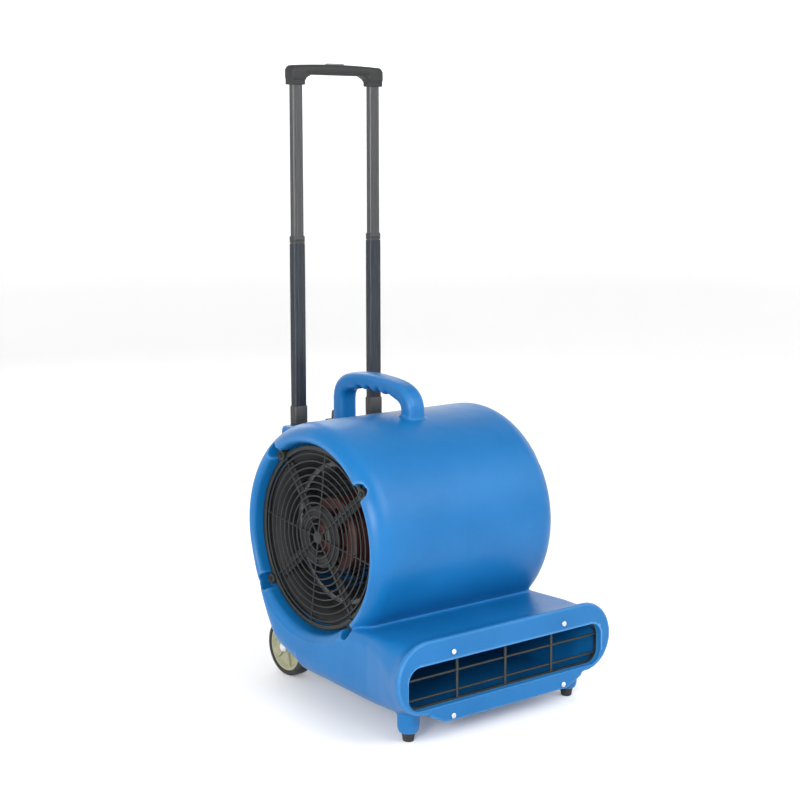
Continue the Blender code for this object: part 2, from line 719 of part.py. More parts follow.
def make_electrics():
    back = COLUMN_BACK - WALL - GAP
    body = block((-0.014, KNOB_Y - 0.013, 0.392), (0.014, back - 0.0005, COLUMN_TOP - WALL - GAP), 0.001, 1)
    join(body, rod((0, KNOB_Y, 0.415), (0, KNOB_Y, COLUMN_TOP + 0.0021), 0.0045, 12))
    cut(body, rod((0, KNOB_Y, 0.402), (0, KNOB_Y, 0.440), 0.0030, 10))
    publish(body, "speed_switch", BLACK)

    plate = block((-0.021, KNOB_Y - 0.0098, COLUMN_TOP + GAP), (0.021, KNOB_Y + 0.006, COLUMN_TOP + 0.0019),
                  0.0007, 1)
    cut(plate, rod((0, KNOB_Y, 0.42), (0, KNOB_Y, 0.44), 0.0048, 12))
    publish(plate, "switch_plate", BLACK)

    foot = COLUMN_TOP + 0.0026
    top = foot + KNOB_HEIGHT
    knob = turned([(0.404, 0), (0.404, 0.0027), (foot, 0.0027), (foot, KNOB_R), (top - 0.002, KNOB_R * 0.94),
                   (top, KNOB_R * 0.7), (top, 0)], 16, Matrix.Translation((0, KNOB_Y, 0)), closed=False)
    publish(knob, "speed_knob", BLACK)

    radius = 0.0165
    place = Matrix.Translation((0.036, back - radius, 0.255))
    case = turned([(0, 0), (0, radius), (0.070, radius), (0.070, 0)], 20, place, closed=False)
    publish(case, "run_capacitor", CREAM)

    gland = turned([(-0.014, 0.004), (-0.014, 0.008), (GAP, 0.008), (GAP, 0.013), (0.008, 0.012),
                    (0.012, 0.007), (0.012, 0.004)], 12,
                   Matrix.Translation((0.040, COLUMN_BACK, 0.150)) @ Matrix.Rotation(-math.pi / 2, 4, "X"))
    publish(gland, "cord_gland", BLACK)


# ---------------------------------------------------------------- wheels
def make_wheels():
    axle_end = WHEEL_OUT + 0.006
    publish(disc(-axle_end, axle_end, AXLE_R, 16, WHEEL_Y, WHEEL_R), "axle", STEEL)
    half = (WHEEL_OUT - WHEEL_IN) / 2
    for side_name, side in SIDES.items():
        place = along_x(side * (WHEEL_IN + half), WHEEL_Y, WHEEL_R, side)
        seat = 0.0415
        tread = [(-half, seat + GAP), (half, seat + GAP), (half, WHEEL_R - 0.004), (half - 0.006, WHEEL_R),
                 (0.006 - half, WHEEL_R), (-half, WHEEL_R - 0.004)]
        bore = AXLE_R + BORE_CLEARANCE
        web = [(-half, bore), (half, bore), (half, 0.011), (half - 0.007, 0.013), (half - 0.007, 0.036),
               (half - 0.002, seat), (0.002 - half, seat), (0.002, 0.036), (0.002, 0.013), (-half, 0.011)]
        publish(turned(tread, 24, place), f"tyre_{side_name}", RUBBER)
        publish(turned(web, 24, place), f"wheel_hub_{side_name}", HUB)
        inner = half + 2 * GAP
        cap = [(inner, AXLE_R + GAP), (inner, 0.0085), (inner + 0.003, 0.0085), (inner + 0.0065, 0.005),
               (inner + 0.0065, 0)]
        cap += [(axle_end - WHEEL_IN - half + GAP, 0), (axle_end - WHEEL_IN - half + GAP, AXLE_R + GAP)]
        publish(turned(cap, 16, place), f"axle_cap_{side_name}", STEEL)


# ---------------------------------------------------------------- pull-out handle
def box_tube(size, x):
    """A rectangular tube with blunted corners."""
    width, depth, low, high = size
    tube = slab(rounded(width / 2, -depth / 2, depth / 2, 0.002, 2), low, high, "Z")
    bore_width = width / 2 - TUBE_WALL
    bore_depth = depth / 2 - TUBE_WALL
    cut(tube, slab(rounded(bore_width, -bore_depth, bore_depth, 0.0013, 2), low - 0.01, high + 0.01, "Z"))
    tube.matrix_world = Matrix.Translation((x, TUBE_Y, 0)) @ tube.matrix_world
    return tube


def bush(outer, inner, height, x):
    """The guide bush on the upper end of a tube, bored for the next one."""
    low = outer[3] + GAP
    high = low + height
    half_x = outer[0] / 2
    half_y = outer[1] / 2
    body = block((x - half_x, TUBE_Y - half_y, low), (x + half_x, TUBE_Y + half_y, high), 0.0018, 1)
    half_width = inner[0] / 2 + GAP
    half_depth = inner[1] / 2 + GAP
    return cut(body, block((x - half_width, TUBE_Y - half_depth, low - 0.01),
                           (x + half_width, TUBE_Y + half_depth, high + 0.01)))


def make_tubes():
    for side_name, side in SIDES.items():
        x = side * TUBE_X
        publish(box_tube(OUTER_TUBE, x), f"outer_tube_{side_name}", GUNMETAL)
        publish(box_tube(MIDDLE_TUBE, x), f"middle_tube_{side_name}", GUNMETAL)
        publish(box_tube(INNER_TUBE, x), f"inner_tube_{side_name}", GUNMETAL)
        publish(bush(OUTER_TUBE, MIDDLE_TUBE, OUTER_BUSH_HEIGHT, x), f"outer_bush_{side_name}", BLACK)
        publish(bush(MIDDLE_TUBE, INNER_TUBE, MIDDLE_BUSH_HEIGHT, x), f"middle_bush_{side_name}", BLACK)
    for name, z in (("upper_strap", 0.385), ("lower_strap", 0.115)):
        back = COLUMN_BACK + 0.0023
        strap = block((-0.106, COLUMN_BACK + GAP, z - 0.009), (0.106, back, z + 0.009), 0.0008, 1)
        publish(strap, name, STEEL)


def make_grip():
    bar_low = GRIP_TOP - GRIP_BAR
    outline = [(-GRIP_HALF, GRIP_LOW), (-0.067, GRIP_LOW), (-0.060, bar_low), (0.060, bar_low),
               (0.067, GRIP_LOW), (GRIP_HALF, GRIP_LOW), (GRIP_HALF, GRIP_TOP - 0.003), (0.060, GRIP_TOP),
               (0.0, GRIP_TOP + 0.001), (-0.060, GRIP_TOP), (-GRIP_HALF, GRIP_TOP - 0.003)]
    grip = slab(outline, TUBE_Y - GRIP_DEPTH, TUBE_Y + GRIP_DEPTH, "Y")
    bevelled(grip, 0.005, 2, 50)
    for side in (-1, 1):
        x = side * TUBE_X
        half_width = INNER_TUBE[0] / 2 + GAP
        half_depth = INNER_TUBE[1] / 2 + GAP
        cut(grip, block((x - half_width, TUBE_Y - half_depth, GRIP_LOW - 0.01),
                        (x + half_width, TUBE_Y + half_depth, INNER_TUBE[3] + GAP)))
    pocket_floor = GRIP_TOP - 0.0125
    cut(grip, block((-BUTTON_HALF - GAP, TUBE_Y - 0.0058, pocket_floor),
                    (BUTTON_HALF + GAP, TUBE_Y + 0.0058, GRIP_TOP + 0.01)))
    publish(grip, "grip", BLACK)
    button = block((-BUTTON_HALF, TUBE_Y - 0.0055, pocket_floor + BUTTON_TRAVEL + 0.0005),
                   (BUTTON_HALF, TUBE_Y + 0.0055, GRIP_TOP + 0.003), 0.0015, 1)
    publish(button, "release_button", GALVANISED)


# ---------------------------------------------------------------- joint frames
JOINT_FRAMES = {
    "impeller_axis": ((0, FAN_Y, FAN_Z), ("impeller", "impeller_hub", "motor_shaft", "motor_rotor")),
    "wheel_left_axis": ((-WHEEL_IN, WHEEL_Y, WHEEL_R), ("tyre_left", "wheel_hub_left")),
    "wheel_right_axis": ((WHEEL_IN, WHEEL_Y, WHEEL_R), ("tyre_right", "wheel_hub_right")),
    "knob_axis": ((0, KNOB_Y, COLUMN_TOP), ("speed_knob",)),
    "middle_stage": ((0, TUBE_Y, MIDDLE_TUBE[2]),
                     ("middle_tube_left", "middle_tube_right", "middle_bush_left", "middle_bush_right")),
    "inner_stage": ((0, TUBE_Y, INNER_TUBE[2]), ("inner_tube_left", "inner_tube_right", "grip")),
    "button_axis": ((0, TUBE_Y, GRIP_TOP), ("release_button",)),
}


def make_joint_frames():
    for name, (point, children) in JOINT_FRAMES.items():
        empty = bpy.data.objects.new(name, None)
        empty.location = point
        PARTS.objects.link(empty)
        bpy.context.view_layer.update()
        for child in children:
            piece = bpy.data.objects[child]
            piece.parent = empty
            piece.matrix_parent_inverse = empty.matrix_world.inverted()


make_housing()
for side_name, side in SIDES.items():
    make_guard(f"inlet_guard_{side_name}", side)
    make_inlet_ring(f"inlet_ring_{side_name}", side)
make_outlet_guard()
make_screws()
make_feet()
make_motor()
make_spider()
make_impeller()
make_electrics()
make_wheels()
make_tubes()
make_grip()
make_joint_frames()
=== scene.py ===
"""Looks of a centrifugal floor dryer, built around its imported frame.

Metres, +Z up, in the frame's own coordinates: the outlet blows towards -Y and the impeller turns
about X. Every piece is modelled in place and rides on the body that carries it.
"""

from math import atan2, copysign, cos, pi, radians, sin

import bmesh
import bpy
from mathutils import Matrix, Vector


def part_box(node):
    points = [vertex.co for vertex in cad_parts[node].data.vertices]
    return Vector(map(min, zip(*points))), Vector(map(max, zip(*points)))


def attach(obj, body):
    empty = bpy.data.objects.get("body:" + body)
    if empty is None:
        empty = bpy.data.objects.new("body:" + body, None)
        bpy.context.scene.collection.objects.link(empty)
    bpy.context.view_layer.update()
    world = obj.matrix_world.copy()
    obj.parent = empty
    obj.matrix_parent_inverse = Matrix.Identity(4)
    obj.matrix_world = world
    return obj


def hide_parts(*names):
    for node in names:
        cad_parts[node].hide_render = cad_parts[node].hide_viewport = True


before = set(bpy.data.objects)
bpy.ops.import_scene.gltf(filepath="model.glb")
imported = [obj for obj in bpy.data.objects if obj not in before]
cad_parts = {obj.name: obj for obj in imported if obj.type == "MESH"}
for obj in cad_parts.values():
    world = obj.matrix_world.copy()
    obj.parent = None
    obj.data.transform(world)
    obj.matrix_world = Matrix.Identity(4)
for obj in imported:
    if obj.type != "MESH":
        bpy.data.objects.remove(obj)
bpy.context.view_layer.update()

# -------- driving dimensions
WALL = 0.004                 # moulded housing wall
GAP = 0.0003                 # clearance between neighbouring pieces
FRONT_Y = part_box("housing_left")[0].y
DRUM_Y = 0.031               # drum axis
DRUM_Z = 0.2797
DRUM_R = 0.1803
DRUM_HALF = 0.196
RIM_ROUND = 0.038

FAN_Y = 0.031                # shaft axis
FAN_Z = 0.275
RECESS_X = 0.161             # floor of the round inlet recess
RECESS_R = 0.1535
INLET_R = 0.138              # the housing's hole behind the bell-mouth ring
EAR_SIZE = 0.009
EAR_RISE = 0.005             # how far the ears stand over the guard's face
POCKET_R = 0.0135            # pocket in the rim round each ear
POCKET_REACH = 1.055         # how much further from the shaft its outer end is

MOUTH_HALF = 0.203
MOUTH_LOW = 0.0598
MOUTH_HIGH = 0.1262
MOUTH_ROUND = 0.022
COLLAR_DEPTH = 0.0105

COLUMN_HALF = 0.113
COLUMN_LOW_HALF = 0.090
COLUMN_BACK = 0.210
COLUMN_TOP = 0.428
TUBE_X = 0.081
TUBE_Y = 0.2008
SLOT_HALF = 0.0132           # half the width of the outer tubes

WHEEL_Y = 0.188
WHEEL_R = 0.050
AXLE_BORE = 0.0053
FOOT_Y = -0.194
FOOT_X = 0.169
FOOT_HEIGHT = 0.013
BOSS_R = 0.0168              # housing boss over each foot
BOSS_TOP = 0.065
MOTOR_R = 0.060
SCREW_HOLE_R = 0.0023
KNOB_HOLE_R = 0.0048
GLAND_HOLE_R = 0.0083
SCREW_HEAD = 0.0028          # height of a screw's head
DIAL_START = radians(-157.5)    # where the knob points when it is off

ROLLING_MARKS = 0.00002      # height of the marks in drawn and rolled metal
SIDES = {"left": -1, "right": 1}


# -------- camera
def make_camera():
    data = bpy.data.cameras.new("camera")
    data.sensor_width = 36
    data.lens = 76.11
    data.shift_x = -0.0106
    data.shift_y = -0.0235
    camera = bpy.data.objects.new("camera", data)
    bpy.context.scene.collection.objects.link(camera)
    camera.location = (-1.7494, -2.0926, 0.8932)
    camera.rotation_euler = (radians(90 - 7.887), radians(0.04), radians(-39.793))
    bpy.context.scene.camera = camera


# -------- outlines
def arc(centre, radius, start, end, count):
    """Points on a circle, both ends included, in degrees."""
    turns = [radians(start + (end - start) * i / (count - 1)) for i in range(count)]
    return [(centre[0] + radius * cos(t), centre[1] + radius * sin(t)) for t in turns]


def rounded(half_u, low_v, high_v, radius, count=8):
    """A rounded rectangle, centred on u = 0."""
    corners = (
        ((half_u - radius, low_v + radius), -90),
        ((half_u - radius, high_v - radius), 0),
        ((radius - half_u, high_v - radius), 90),
        ((radius - half_u, low_v + radius), 180),
    )
    return [p for centre, turn in corners for p in arc(centre, radius, turn, turn + 90, count)]


def bezier(start, start_handle, end_handle, end, count):
    """Points on a cubic curve, without its first."""
    points = []
    for i in range(1, count + 1):
        t = i / count
        a = (1 - t) ** 3
        b = 3 * t * (1 - t) ** 2
        c = 3 * t * t * (1 - t)
        d = t ** 3
        points.append(tuple(a * p + b * q + c * r + d * s
                            for p, q, r, s in zip(start, start_handle, end_handle, end)))
    return points


def soft_corners(points, radius, steps):
    """The closed outline with each corner turned into a short curve."""
    count = len(points)
    made = []
    for i, point in enumerate(points):
        here = Vector(point)
        back = Vector(points[i - 1]) - here
        on = Vector(points[(i + 1) % count]) - here
        reach = min(radius, back.length * 0.45, on.length * 0.45)
        start = here + back.normalized() * reach
        end = here + on.normalized() * reach
        for j in range(steps + 1):
            t = j / steps
            made.append(tuple(start * (1 - t) ** 2 + here * 2 * t * (1 - t) + end * t * t))
    return made


def inset(outline, distance):
    """The closed outline moved inwards by a distance."""
    count = len(outline)
    area = sum(outline[i - 1][0] * outline[i][1] - outline[i][0] * outline[i - 1][1] for i in range(count))
    side = 1 if area > 0 else -1
    moved = []
    for i in range(count):
        before = (Vector(outline[i]) - Vector(outline[i - 1])).normalized()
        after = (Vector(outline[(i + 1) % count]) - Vector(outline[i])).normalized()
        normal = Vector((-before.y - after.y, before.x + after.x)).normalized() * side
        stretch = max(0.5, abs(normal.dot(Vector((-before.y, before.x)))))
        moved.append(tuple(Vector(outline[i]) + normal * distance / stretch))
    return moved


def normal_at(path, i):
    """The direction across an open path at its point number i."""
    along = (Vector(path[min(i + 1, len(path) - 1)]) - Vector(path[max(i - 1, 0)])).normalized()
    return Vector((-along.y, along.x))


def band(path, half):
    """The closed outline of a strip of constant width along an open path."""
    left = []
    right = []
    for i, point in enumerate(path):
        across = normal_at(path, i) * half
        left.append(tuple(Vector(point) + across))
        right.append(tuple(Vector(point) - across))
    return left + right[::-1]


def degrees(*angles):
    return [radians(angle) for angle in angles]


def circle(radius, count, centre=(0, 0)):
    return [(centre[0] + radius * cos(2 * pi * i / count),
             centre[1] + radius * sin(2 * pi * i / count)) for i in range(count)]


# -------- solids
def add(mesh):
    item = bpy.data.objects.new("work", mesh)
    bpy.context.scene.collection.objects.link(item)
    return item


def from_bmesh(work):
    bmesh.ops.recalc_face_normals(work, faces=work.faces)
    mesh = bpy.data.meshes.new("work")
    work.to_mesh(mesh)
    work.free()
    return add(mesh)


def freeze(item):
    """Applies the modifiers."""
    bpy.context.view_layer.update()
    mesh = bpy.data.meshes.new_from_object(item.evaluated_get(bpy.context.evaluated_depsgraph_get()))
    item.modifiers.clear()
    item.data = mesh
    return item


def combine(item, other, operation):
    step = item.modifiers.new(operation, "BOOLEAN")
    step.operation = operation
    step.solver = "MANIFOLD"
    step.object = other
    freeze(item)
    bpy.data.objects.remove(other, do_unlink=True)
    return item


def cut(item, *others):
    for other in others:
        combine(item, other, "DIFFERENCE")
    return item


def join(item, *others):
    for other in others:
        combine(item, other, "UNION")
    return item


def remeshed(item, voxel, rounds):
    """Melts the solid into one even skin, with soft edges and inner corners."""
    step = item.modifiers.new("voxels", "REMESH")
    step.mode = "VOXEL"
    step.voxel_size = voxel
    relax = item.modifiers.new("relax", "SMOOTH")
    relax.factor = 0.5
    relax.iterations = rounds
    return freeze(item)


def placed(item, matrix):
    item.data.transform(matrix)
    return item


def on_side(item, side):
    """The item itself for the right side, or moved to the other side of the middle plane."""
    if side < 0:
        item.data.transform(Matrix.Scale(-1, 4, (1, 0, 0)))
        item.data.flip_normals()
    return item


AXIS_POINT = {
    "X": lambda at, u, v: (at, u, v),
    "Y": lambda at, u, v: (u, at, v),
    "Z": lambda at, u, v: (u, v, at),
}


def skinned(work, rings):
    """Joins rings of equal point count into a closed solid."""
    count = len(rings[0])
    for one, two in zip(rings, rings[1:]):
        for i in range(count):
            j = (i + 1) % count
            work.faces.new((one[i], one[j], two[j], two[i]))
    work.faces.new(rings[0])
    work.faces.new(rings[-1])
    return from_bmesh(work)


def loft(sections, axis):
    """Skins outlines that stand at different places along an axis, all with the same point count."""
    work = bmesh.new()
    point = AXIS_POINT[axis]
    return skinned(work, [[work.verts.new(point(at, u, v)) for u, v in outline] for at, outline in sections])


def slab(outline, low, high, axis="X", edge=0.0, steps=3):
    """A flat outline with thickness, whose rims are rounded by edge."""
    if not edge:
        return loft([(low, outline), (high, outline)], axis)
    rims = []
    for i in range(steps + 1):
        turn = pi / 2 * i / steps
        rims.append((edge * (1 - sin(turn)), inset(outline, edge * (1 - cos(turn)))))
    front = [(low + depth, points) for depth, points in reversed(rims)]
    back = [(high - depth, points) for depth, points in rims]
    return loft(front + back, axis)


def block(low, high, round_by=0.0, axis="Z", edge=None):
    """A box with rounded corners about one axis and softly rounded rims."""
    at = "XYZ".index(axis)
    u, v = [i for i in range(3) if i != at]
    corners = [(low[u], low[v]), (high[u], low[v]), (high[u], high[v]), (low[u], high[v])]
    outline = soft_corners(corners, round_by, 5) if round_by else corners
    return slab(outline, low[at], high[at], axis, round_by if edge is None else edge)


def lathe(profile, steps=64, place=None, closed=False):
    """A profile of (height along the axis, radius) turned about local Z."""
    work = bmesh.new()
    rings = []
    for height, radius in profile:
        if radius < 1e-6:
            rings.append([work.verts.new((0, 0, height))] * steps)
        else:
            rings.append([work.verts.new((radius * cos(2 * pi * i / steps),
                                          radius * sin(2 * pi * i / steps), height))
                          for i in range(steps)])
    pairs = list(zip(rings, rings[1:] + rings[:1])) if closed else list(zip(rings, rings[1:]))
    for one, two in pairs:
        for i in range(steps):
            j = (i + 1) % steps
            corners = list(dict.fromkeys((one[i], one[j], two[j], two[i])))
            if len(corners) > 2:
                work.faces.new(corners)
    item = from_bmesh(work)
    return placed(item, place) if place is not None else item


def spin(angle):
    return Matrix.Rotation(angle, 4, "Z")


def along_x(x=0.0, y=FAN_Y, z=FAN_Z, way=1):
    """The place of a turned piece whose axis points along +X or -X."""
    return Matrix.Translation((x, y, z)) @ Matrix.Rotation(way * pi / 2, 4, "Y")


def pointing(point, direction):
    """The place of a turned piece whose axis leaves a point in a direction."""
    return Matrix.Translation(point) @ Vector(direction).to_track_quat("Z", "Y").to_matrix().to_4x4()


def rod(start, end, radius, steps=24):
    run = Vector(end) - Vector(start)
    return lathe([(0, 0), (0, radius), (run.length, radius), (run.length, 0)], steps, pointing(start, run))


def round_bar(low_x, high_x, radius, chamfer, y, z):
    """A bar along X with chamfered ends."""
    profile = [(low_x, 0), (low_x, radius - chamfer), (low_x + chamfer, radius),
               (high_x - chamfer, radius), (high_x, radius - chamfer), (high_x, 0)]
    return lathe(profile, 40, along_x(0, y, z))


def disc(x_low, x_high, radius, steps=96, y=FAN_Y, z=FAN_Z):
    return rod((x_low, y, z), (x_high, y, z), radius, steps)


def ring(low, high, inner, outer, edge, steps=96):
    """A ring about the shaft axis with soft edges."""
    profile = soft_corners([(low, inner), (high, inner), (high, outer), (low, outer)], edge, 3)
    return lathe(profile, steps, along_x(), closed=True)


def about_shaft(item, angle):
    centre = Matrix.Translation((0, FAN_Y, FAN_Z))
    return placed(item, centre @ Matrix.Rotation(angle, 4, "X") @ centre.inverted())


def opening_for(node, low_z, high_z, corner):
    """The upright hole that takes a node with the usual clearance."""
    low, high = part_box(node)
    return block((low.x - GAP, low.y - GAP, low_z), (high.x + GAP, high.y + GAP, high_z), corner, "Z", 0)


def show(item, name, body, slot, look, *nodes, angle=35):
    """Finishes a piece: its name, shading, material, the body it rides on and the nodes it stands for."""
    item.name = name
    item.data.materials.clear()
    item.data.materials.append(look)
    item.data.shade_smooth()
    item.data.set_sharp_from_angle(angle=radians(angle))
    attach(item, body)
    if nodes:
        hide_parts(*nodes)
    return item


def stand_in(item, node, body, slot, look, angle=35):
    """Finishes a piece that stands for one node of the frame and takes its name."""
    return show(item, f"{node}_fine", body, slot, look, node, angle=angle)


# -------- materials
def start_look(name, roughness, metallic=0.0, specular=0.5):
    look = bpy.data.materials.new(name)
    look.use_nodes = True
    shader = look.node_tree.nodes["Principled BSDF"]
    shader.inputs["Roughness"].default_value = roughness
    shader.inputs["Metallic"].default_value = metallic
    shader.inputs["Specular IOR Level"].default_value = specular
    return look, look.node_tree, shader


def texture(tree, kind, scale, stretch=(1, 1, 1), **values):
    """A texture on the piece's own coordinates, in metres."""
    where = tree.nodes.new("ShaderNodeTexCoord")
    mapping = tree.nodes.new("ShaderNodeMapping")
    mapping.inputs["Scale"].default_value = stretch
    made = tree.nodes.new(kind)
    made.inputs["Scale"].default_value = scale
    for socket, value in values.items():
        made.inputs[socket].default_value = value
    tree.links.new(where.outputs["Object"], mapping.inputs["Vector"])
    tree.links.new(mapping.outputs["Vector"], made.inputs["Vector"])
    return made.outputs[0]


def noise(tree, scale, stretch=(1, 1, 1), **values):
    return texture(tree, "ShaderNodeTexNoise", scale, stretch, **values)


def remap(tree, value, low, high, to_low, to_high):
    made = tree.nodes.new("ShaderNodeMapRange")
    for socket, number in zip(("From Min", "From Max", "To Min", "To Max"), (low, high, to_low, to_high)):
        made.inputs[socket].default_value = number
    tree.links.new(value, made.inputs["Value"])
    return made.outputs["Result"]


def math_node(tree, operation, one, two):
    made = tree.nodes.new("ShaderNodeMath")
    made.operation = operation
    for socket, value in zip(made.inputs, (one, two)):
        if isinstance(value, (int, float)):
            socket.default_value = value
        else:
            tree.links.new(value, socket)
    return made.outputs[0]


def blend(tree, factor, one, two):
    """Colours may be tuples or sockets."""
    made = tree.nodes.new("ShaderNodeMix")
    made.data_type = "RGBA"
    tree.links.new(factor, made.inputs["Factor"])
    for socket, colour in zip((made.inputs[6], made.inputs[7]), (one, two)):
        if isinstance(colour, tuple):
            socket.default_value = (*colour, 1.0)
        else:
            tree.links.new(colour, socket)
    return made.outputs[2]


def finish_look(tree, shader, colour, rough, layers):
    """Wires colour and roughness, and stacks height maps, each with its own height in metres."""
    tree.links.new(colour, shader.inputs["Base Color"])
    tree.links.new(rough, shader.inputs["Roughness"])
    below = None
    for height, distance in layers:
        made = tree.nodes.new("ShaderNodeBump")
        made.inputs["Strength"].default_value = 1.0
        made.inputs["Distance"].default_value = distance
        tree.links.new(height, made.inputs["Height"])
        if below is not None:
            tree.links.new(below, made.inputs["Normal"])
        below = made.outputs["Normal"]
    tree.links.new(below, shader.inputs["Normal"])


def edges(tree, low, high):
    """How far a point lies on an outer edge."""
    geometry = tree.nodes.new("ShaderNodeNewGeometry")
    return remap(tree, geometry.outputs["Pointiness"], low, high, 0.0, 1.0)


def blue_look():
    """Semi-matt moulded polyethylene: orange peel, slow waves, pale scuffs, and paler edges that are partly
    wear and partly a painted highlight.
    """
    look, tree, shader = start_look("blue_polyethylene", 0.36, specular=0.28)
    mottle = noise(tree, 9.0, Detail=3.0)
    specks = noise(tree, 420.0, Detail=2.0)
    scuff = noise(tree, 60.0, (1.0, 0.25, 3.0), Detail=5.0, Roughness=0.7)
    scuffed = remap(tree, scuff, 0.66, 0.74, 0.0, 0.32)
    colour = blend(tree, remap(tree, mottle, 0.35, 0.65, 0.0, 1.0),
                           (0.0022, 0.106, 0.300), (0.0040, 0.122, 0.338))
    colour = blend(tree, remap(tree, specks, 0.45, 0.72, 0.0, 0.12), colour, (0.02, 0.18, 0.43))
    colour = blend(tree, scuffed, colour, (0.06, 0.21, 0.43))
    # paler colour on sharp edges: partly wear, partly a painted highlight along the rims and lips
    colour = blend(tree, math_node(tree, "MULTIPLY", edges(tree, 0.51, 0.57), 0.55), colour,
                           (0.10, 0.30, 0.58))
    rough = math_node(tree, "ADD", remap(tree, mottle, 0.3, 0.7, 0.31, 0.40), scuffed)
    peel = noise(tree, 700.0, Detail=2.0, Roughness=0.6)
    waves = noise(tree, 26.0, Detail=1.0)
    finish_look(tree, shader, colour, rough, [(waves, 0.0009), (peel, 0.00010)])
    return look


def plastic_look(name, dark, light, roughness, grain=900.0, height=0.00006, worn=(0.10, 0.10, 0.10)):
    """Satin moulded plastic with a spark-eroded grain, faint scratches and polished edges."""
    look, tree, shader = start_look(name, roughness, specular=0.45)
    mottle = noise(tree, 30.0, Detail=4.0)
    grains = noise(tree, grain, Detail=2.0, Roughness=0.7)
    scratch = noise(tree, 90.0, (0.15, 1.0, 4.0), Detail=4.0, Roughness=0.7)
    scratched = remap(tree, scratch, 0.64, 0.70, 0.0, 1.0)
    colour = blend(tree, remap(tree, mottle, 0.35, 0.65, 0.0, 1.0), dark, light)
    colour = blend(tree, math_node(tree, "MULTIPLY", edges(tree, 0.53, 0.64), 0.4), colour, worn)
    colour = blend(tree, math_node(tree, "MULTIPLY", scratched, 0.15), colour, worn)
    rough = math_node(tree, "ADD", remap(tree, mottle, 0.3, 0.7, roughness - 0.06, roughness + 0.06),
                      math_node(tree, "MULTIPLY", scratched, 0.12))
    finish_look(tree, shader, colour, rough, [(grains, height)])
    return look


def rubber_look(name, dark, light, roughness):
    """Matt rubber with dust in its grain."""
    look, tree, shader = start_look(name, roughness, specular=0.3)
    dust = noise(tree, 55.0, Detail=6.0, Roughness=0.65)
    grains = texture(tree, "ShaderNodeTexVoronoi", 1100.0)
    colour = blend(tree, remap(tree, dust, 0.4, 0.75, 0.0, 1.0), dark, light)
    rough = remap(tree, dust, 0.3, 0.7, roughness - 0.08, roughness + 0.08)
    finish_look(tree, shader, colour, rough, [(grains, 0.00008)])
    return look


def metal_look(name, dark, light, roughness, stretch=(1, 1, 1), scale=260.0, metallic=1.0):
    """Metal with drawing or rolling marks along its unstretched axes and patchy gloss."""
    look, tree, shader = start_look(name, roughness, metallic)
    marks = noise(tree, scale, stretch, Detail=5.0, Roughness=0.65)
    patches = noise(tree, 22.0, Detail=3.0)
    colour = blend(tree, remap(tree, marks, 0.3, 0.7, 0.0, 1.0), dark, light)
    rough = math_node(tree, "ADD", remap(tree, marks, 0.3, 0.7, roughness - 0.05, roughness + 0.05),
                      remap(tree, patches, 0.4, 0.7, 0.0, 0.08))
    finish_look(tree, shader, colour, rough, [(marks, ROLLING_MARKS)])
    return look


def spangle_look(name):
    """Galvanised sheet, with the zinc's crystals in slightly different greys, all kept dark as painted shade
    for the parts inside the housing.
    """
    look, tree, shader = start_look(name, 0.42, 0.9)
    crystals = texture(tree, "ShaderNodeTexVoronoi", 160.0)
    rolling = noise(tree, 300.0, (0.05, 1, 1), Detail=4.0)
    # greys much darker than bare zinc: painted shade for the impeller, shaft and motor parts inside the
    # housing
    colour = blend(tree, remap(tree, crystals, 0.0, 0.9, 0.0, 1.0), (0.13, 0.137, 0.145),
                           (0.22, 0.23, 0.24))
    rough = remap(tree, crystals, 0.0, 0.9, 0.44, 0.6)
    finish_look(tree, shader, colour, rough, [(rolling, ROLLING_MARKS)])
    return look


BLUE = blue_look()
BLACK = plastic_look("black_plastic", (0.010, 0.0105, 0.011), (0.016, 0.017, 0.018), 0.50)
GUARD = plastic_look("guard_plastic", (0.005, 0.0075, 0.007), (0.009, 0.012, 0.0115), 0.52,
                     worn=(0.045, 0.052, 0.050))
# near-black steel: the real dark finish of the guard screws, and painted shade on the inlet rings and motor
# bracket inside the housing
DARK_STEEL_AND_INNER_SHADE = metal_look("dark_steel_and_painted_shade", (0.009, 0.009, 0.010), (0.018, 0.018, 0.020), 0.62, metallic=0.2)
GRIP = plastic_look("grip_plastic", (0.007, 0.008, 0.0085), (0.011, 0.012, 0.0125), 0.58, 700.0, 0.0001,
                    (0.06, 0.06, 0.06))
KNOB = plastic_look("knob_plastic", (0.020, 0.020, 0.021), (0.030, 0.030, 0.031), 0.38)
RUBBER = rubber_look("foot_rubber", (0.018, 0.018, 0.020), (0.045, 0.045, 0.047), 0.78)
TYRE = rubber_look("tyre_rubber", (0.022, 0.022, 0.024), (0.055, 0.054, 0.050), 0.72)
HUB = plastic_look("hub_plastic", (0.25, 0.25, 0.155), (0.31, 0.31, 0.20), 0.45, worn=(0.45, 0.45, 0.36))
STEEL = metal_look("zinc_steel", (0.62, 0.63, 0.65), (0.80, 0.81, 0.82), 0.28)
SHEET_WITH_PAINTED_SHADE = spangle_look("galvanised_sheet")
TUBE = metal_look("gunmetal_tube", (0.060, 0.061, 0.063), (0.095, 0.096, 0.100), 0.36, (1, 1, 0.02), 900.0,
                  0.85)
TUBE_DARK = metal_look("dark_gunmetal_tube", (0.030, 0.034, 0.042), (0.054, 0.060, 0.072), 0.38, (1, 1, 0.02),
                       900.0, 0.85)
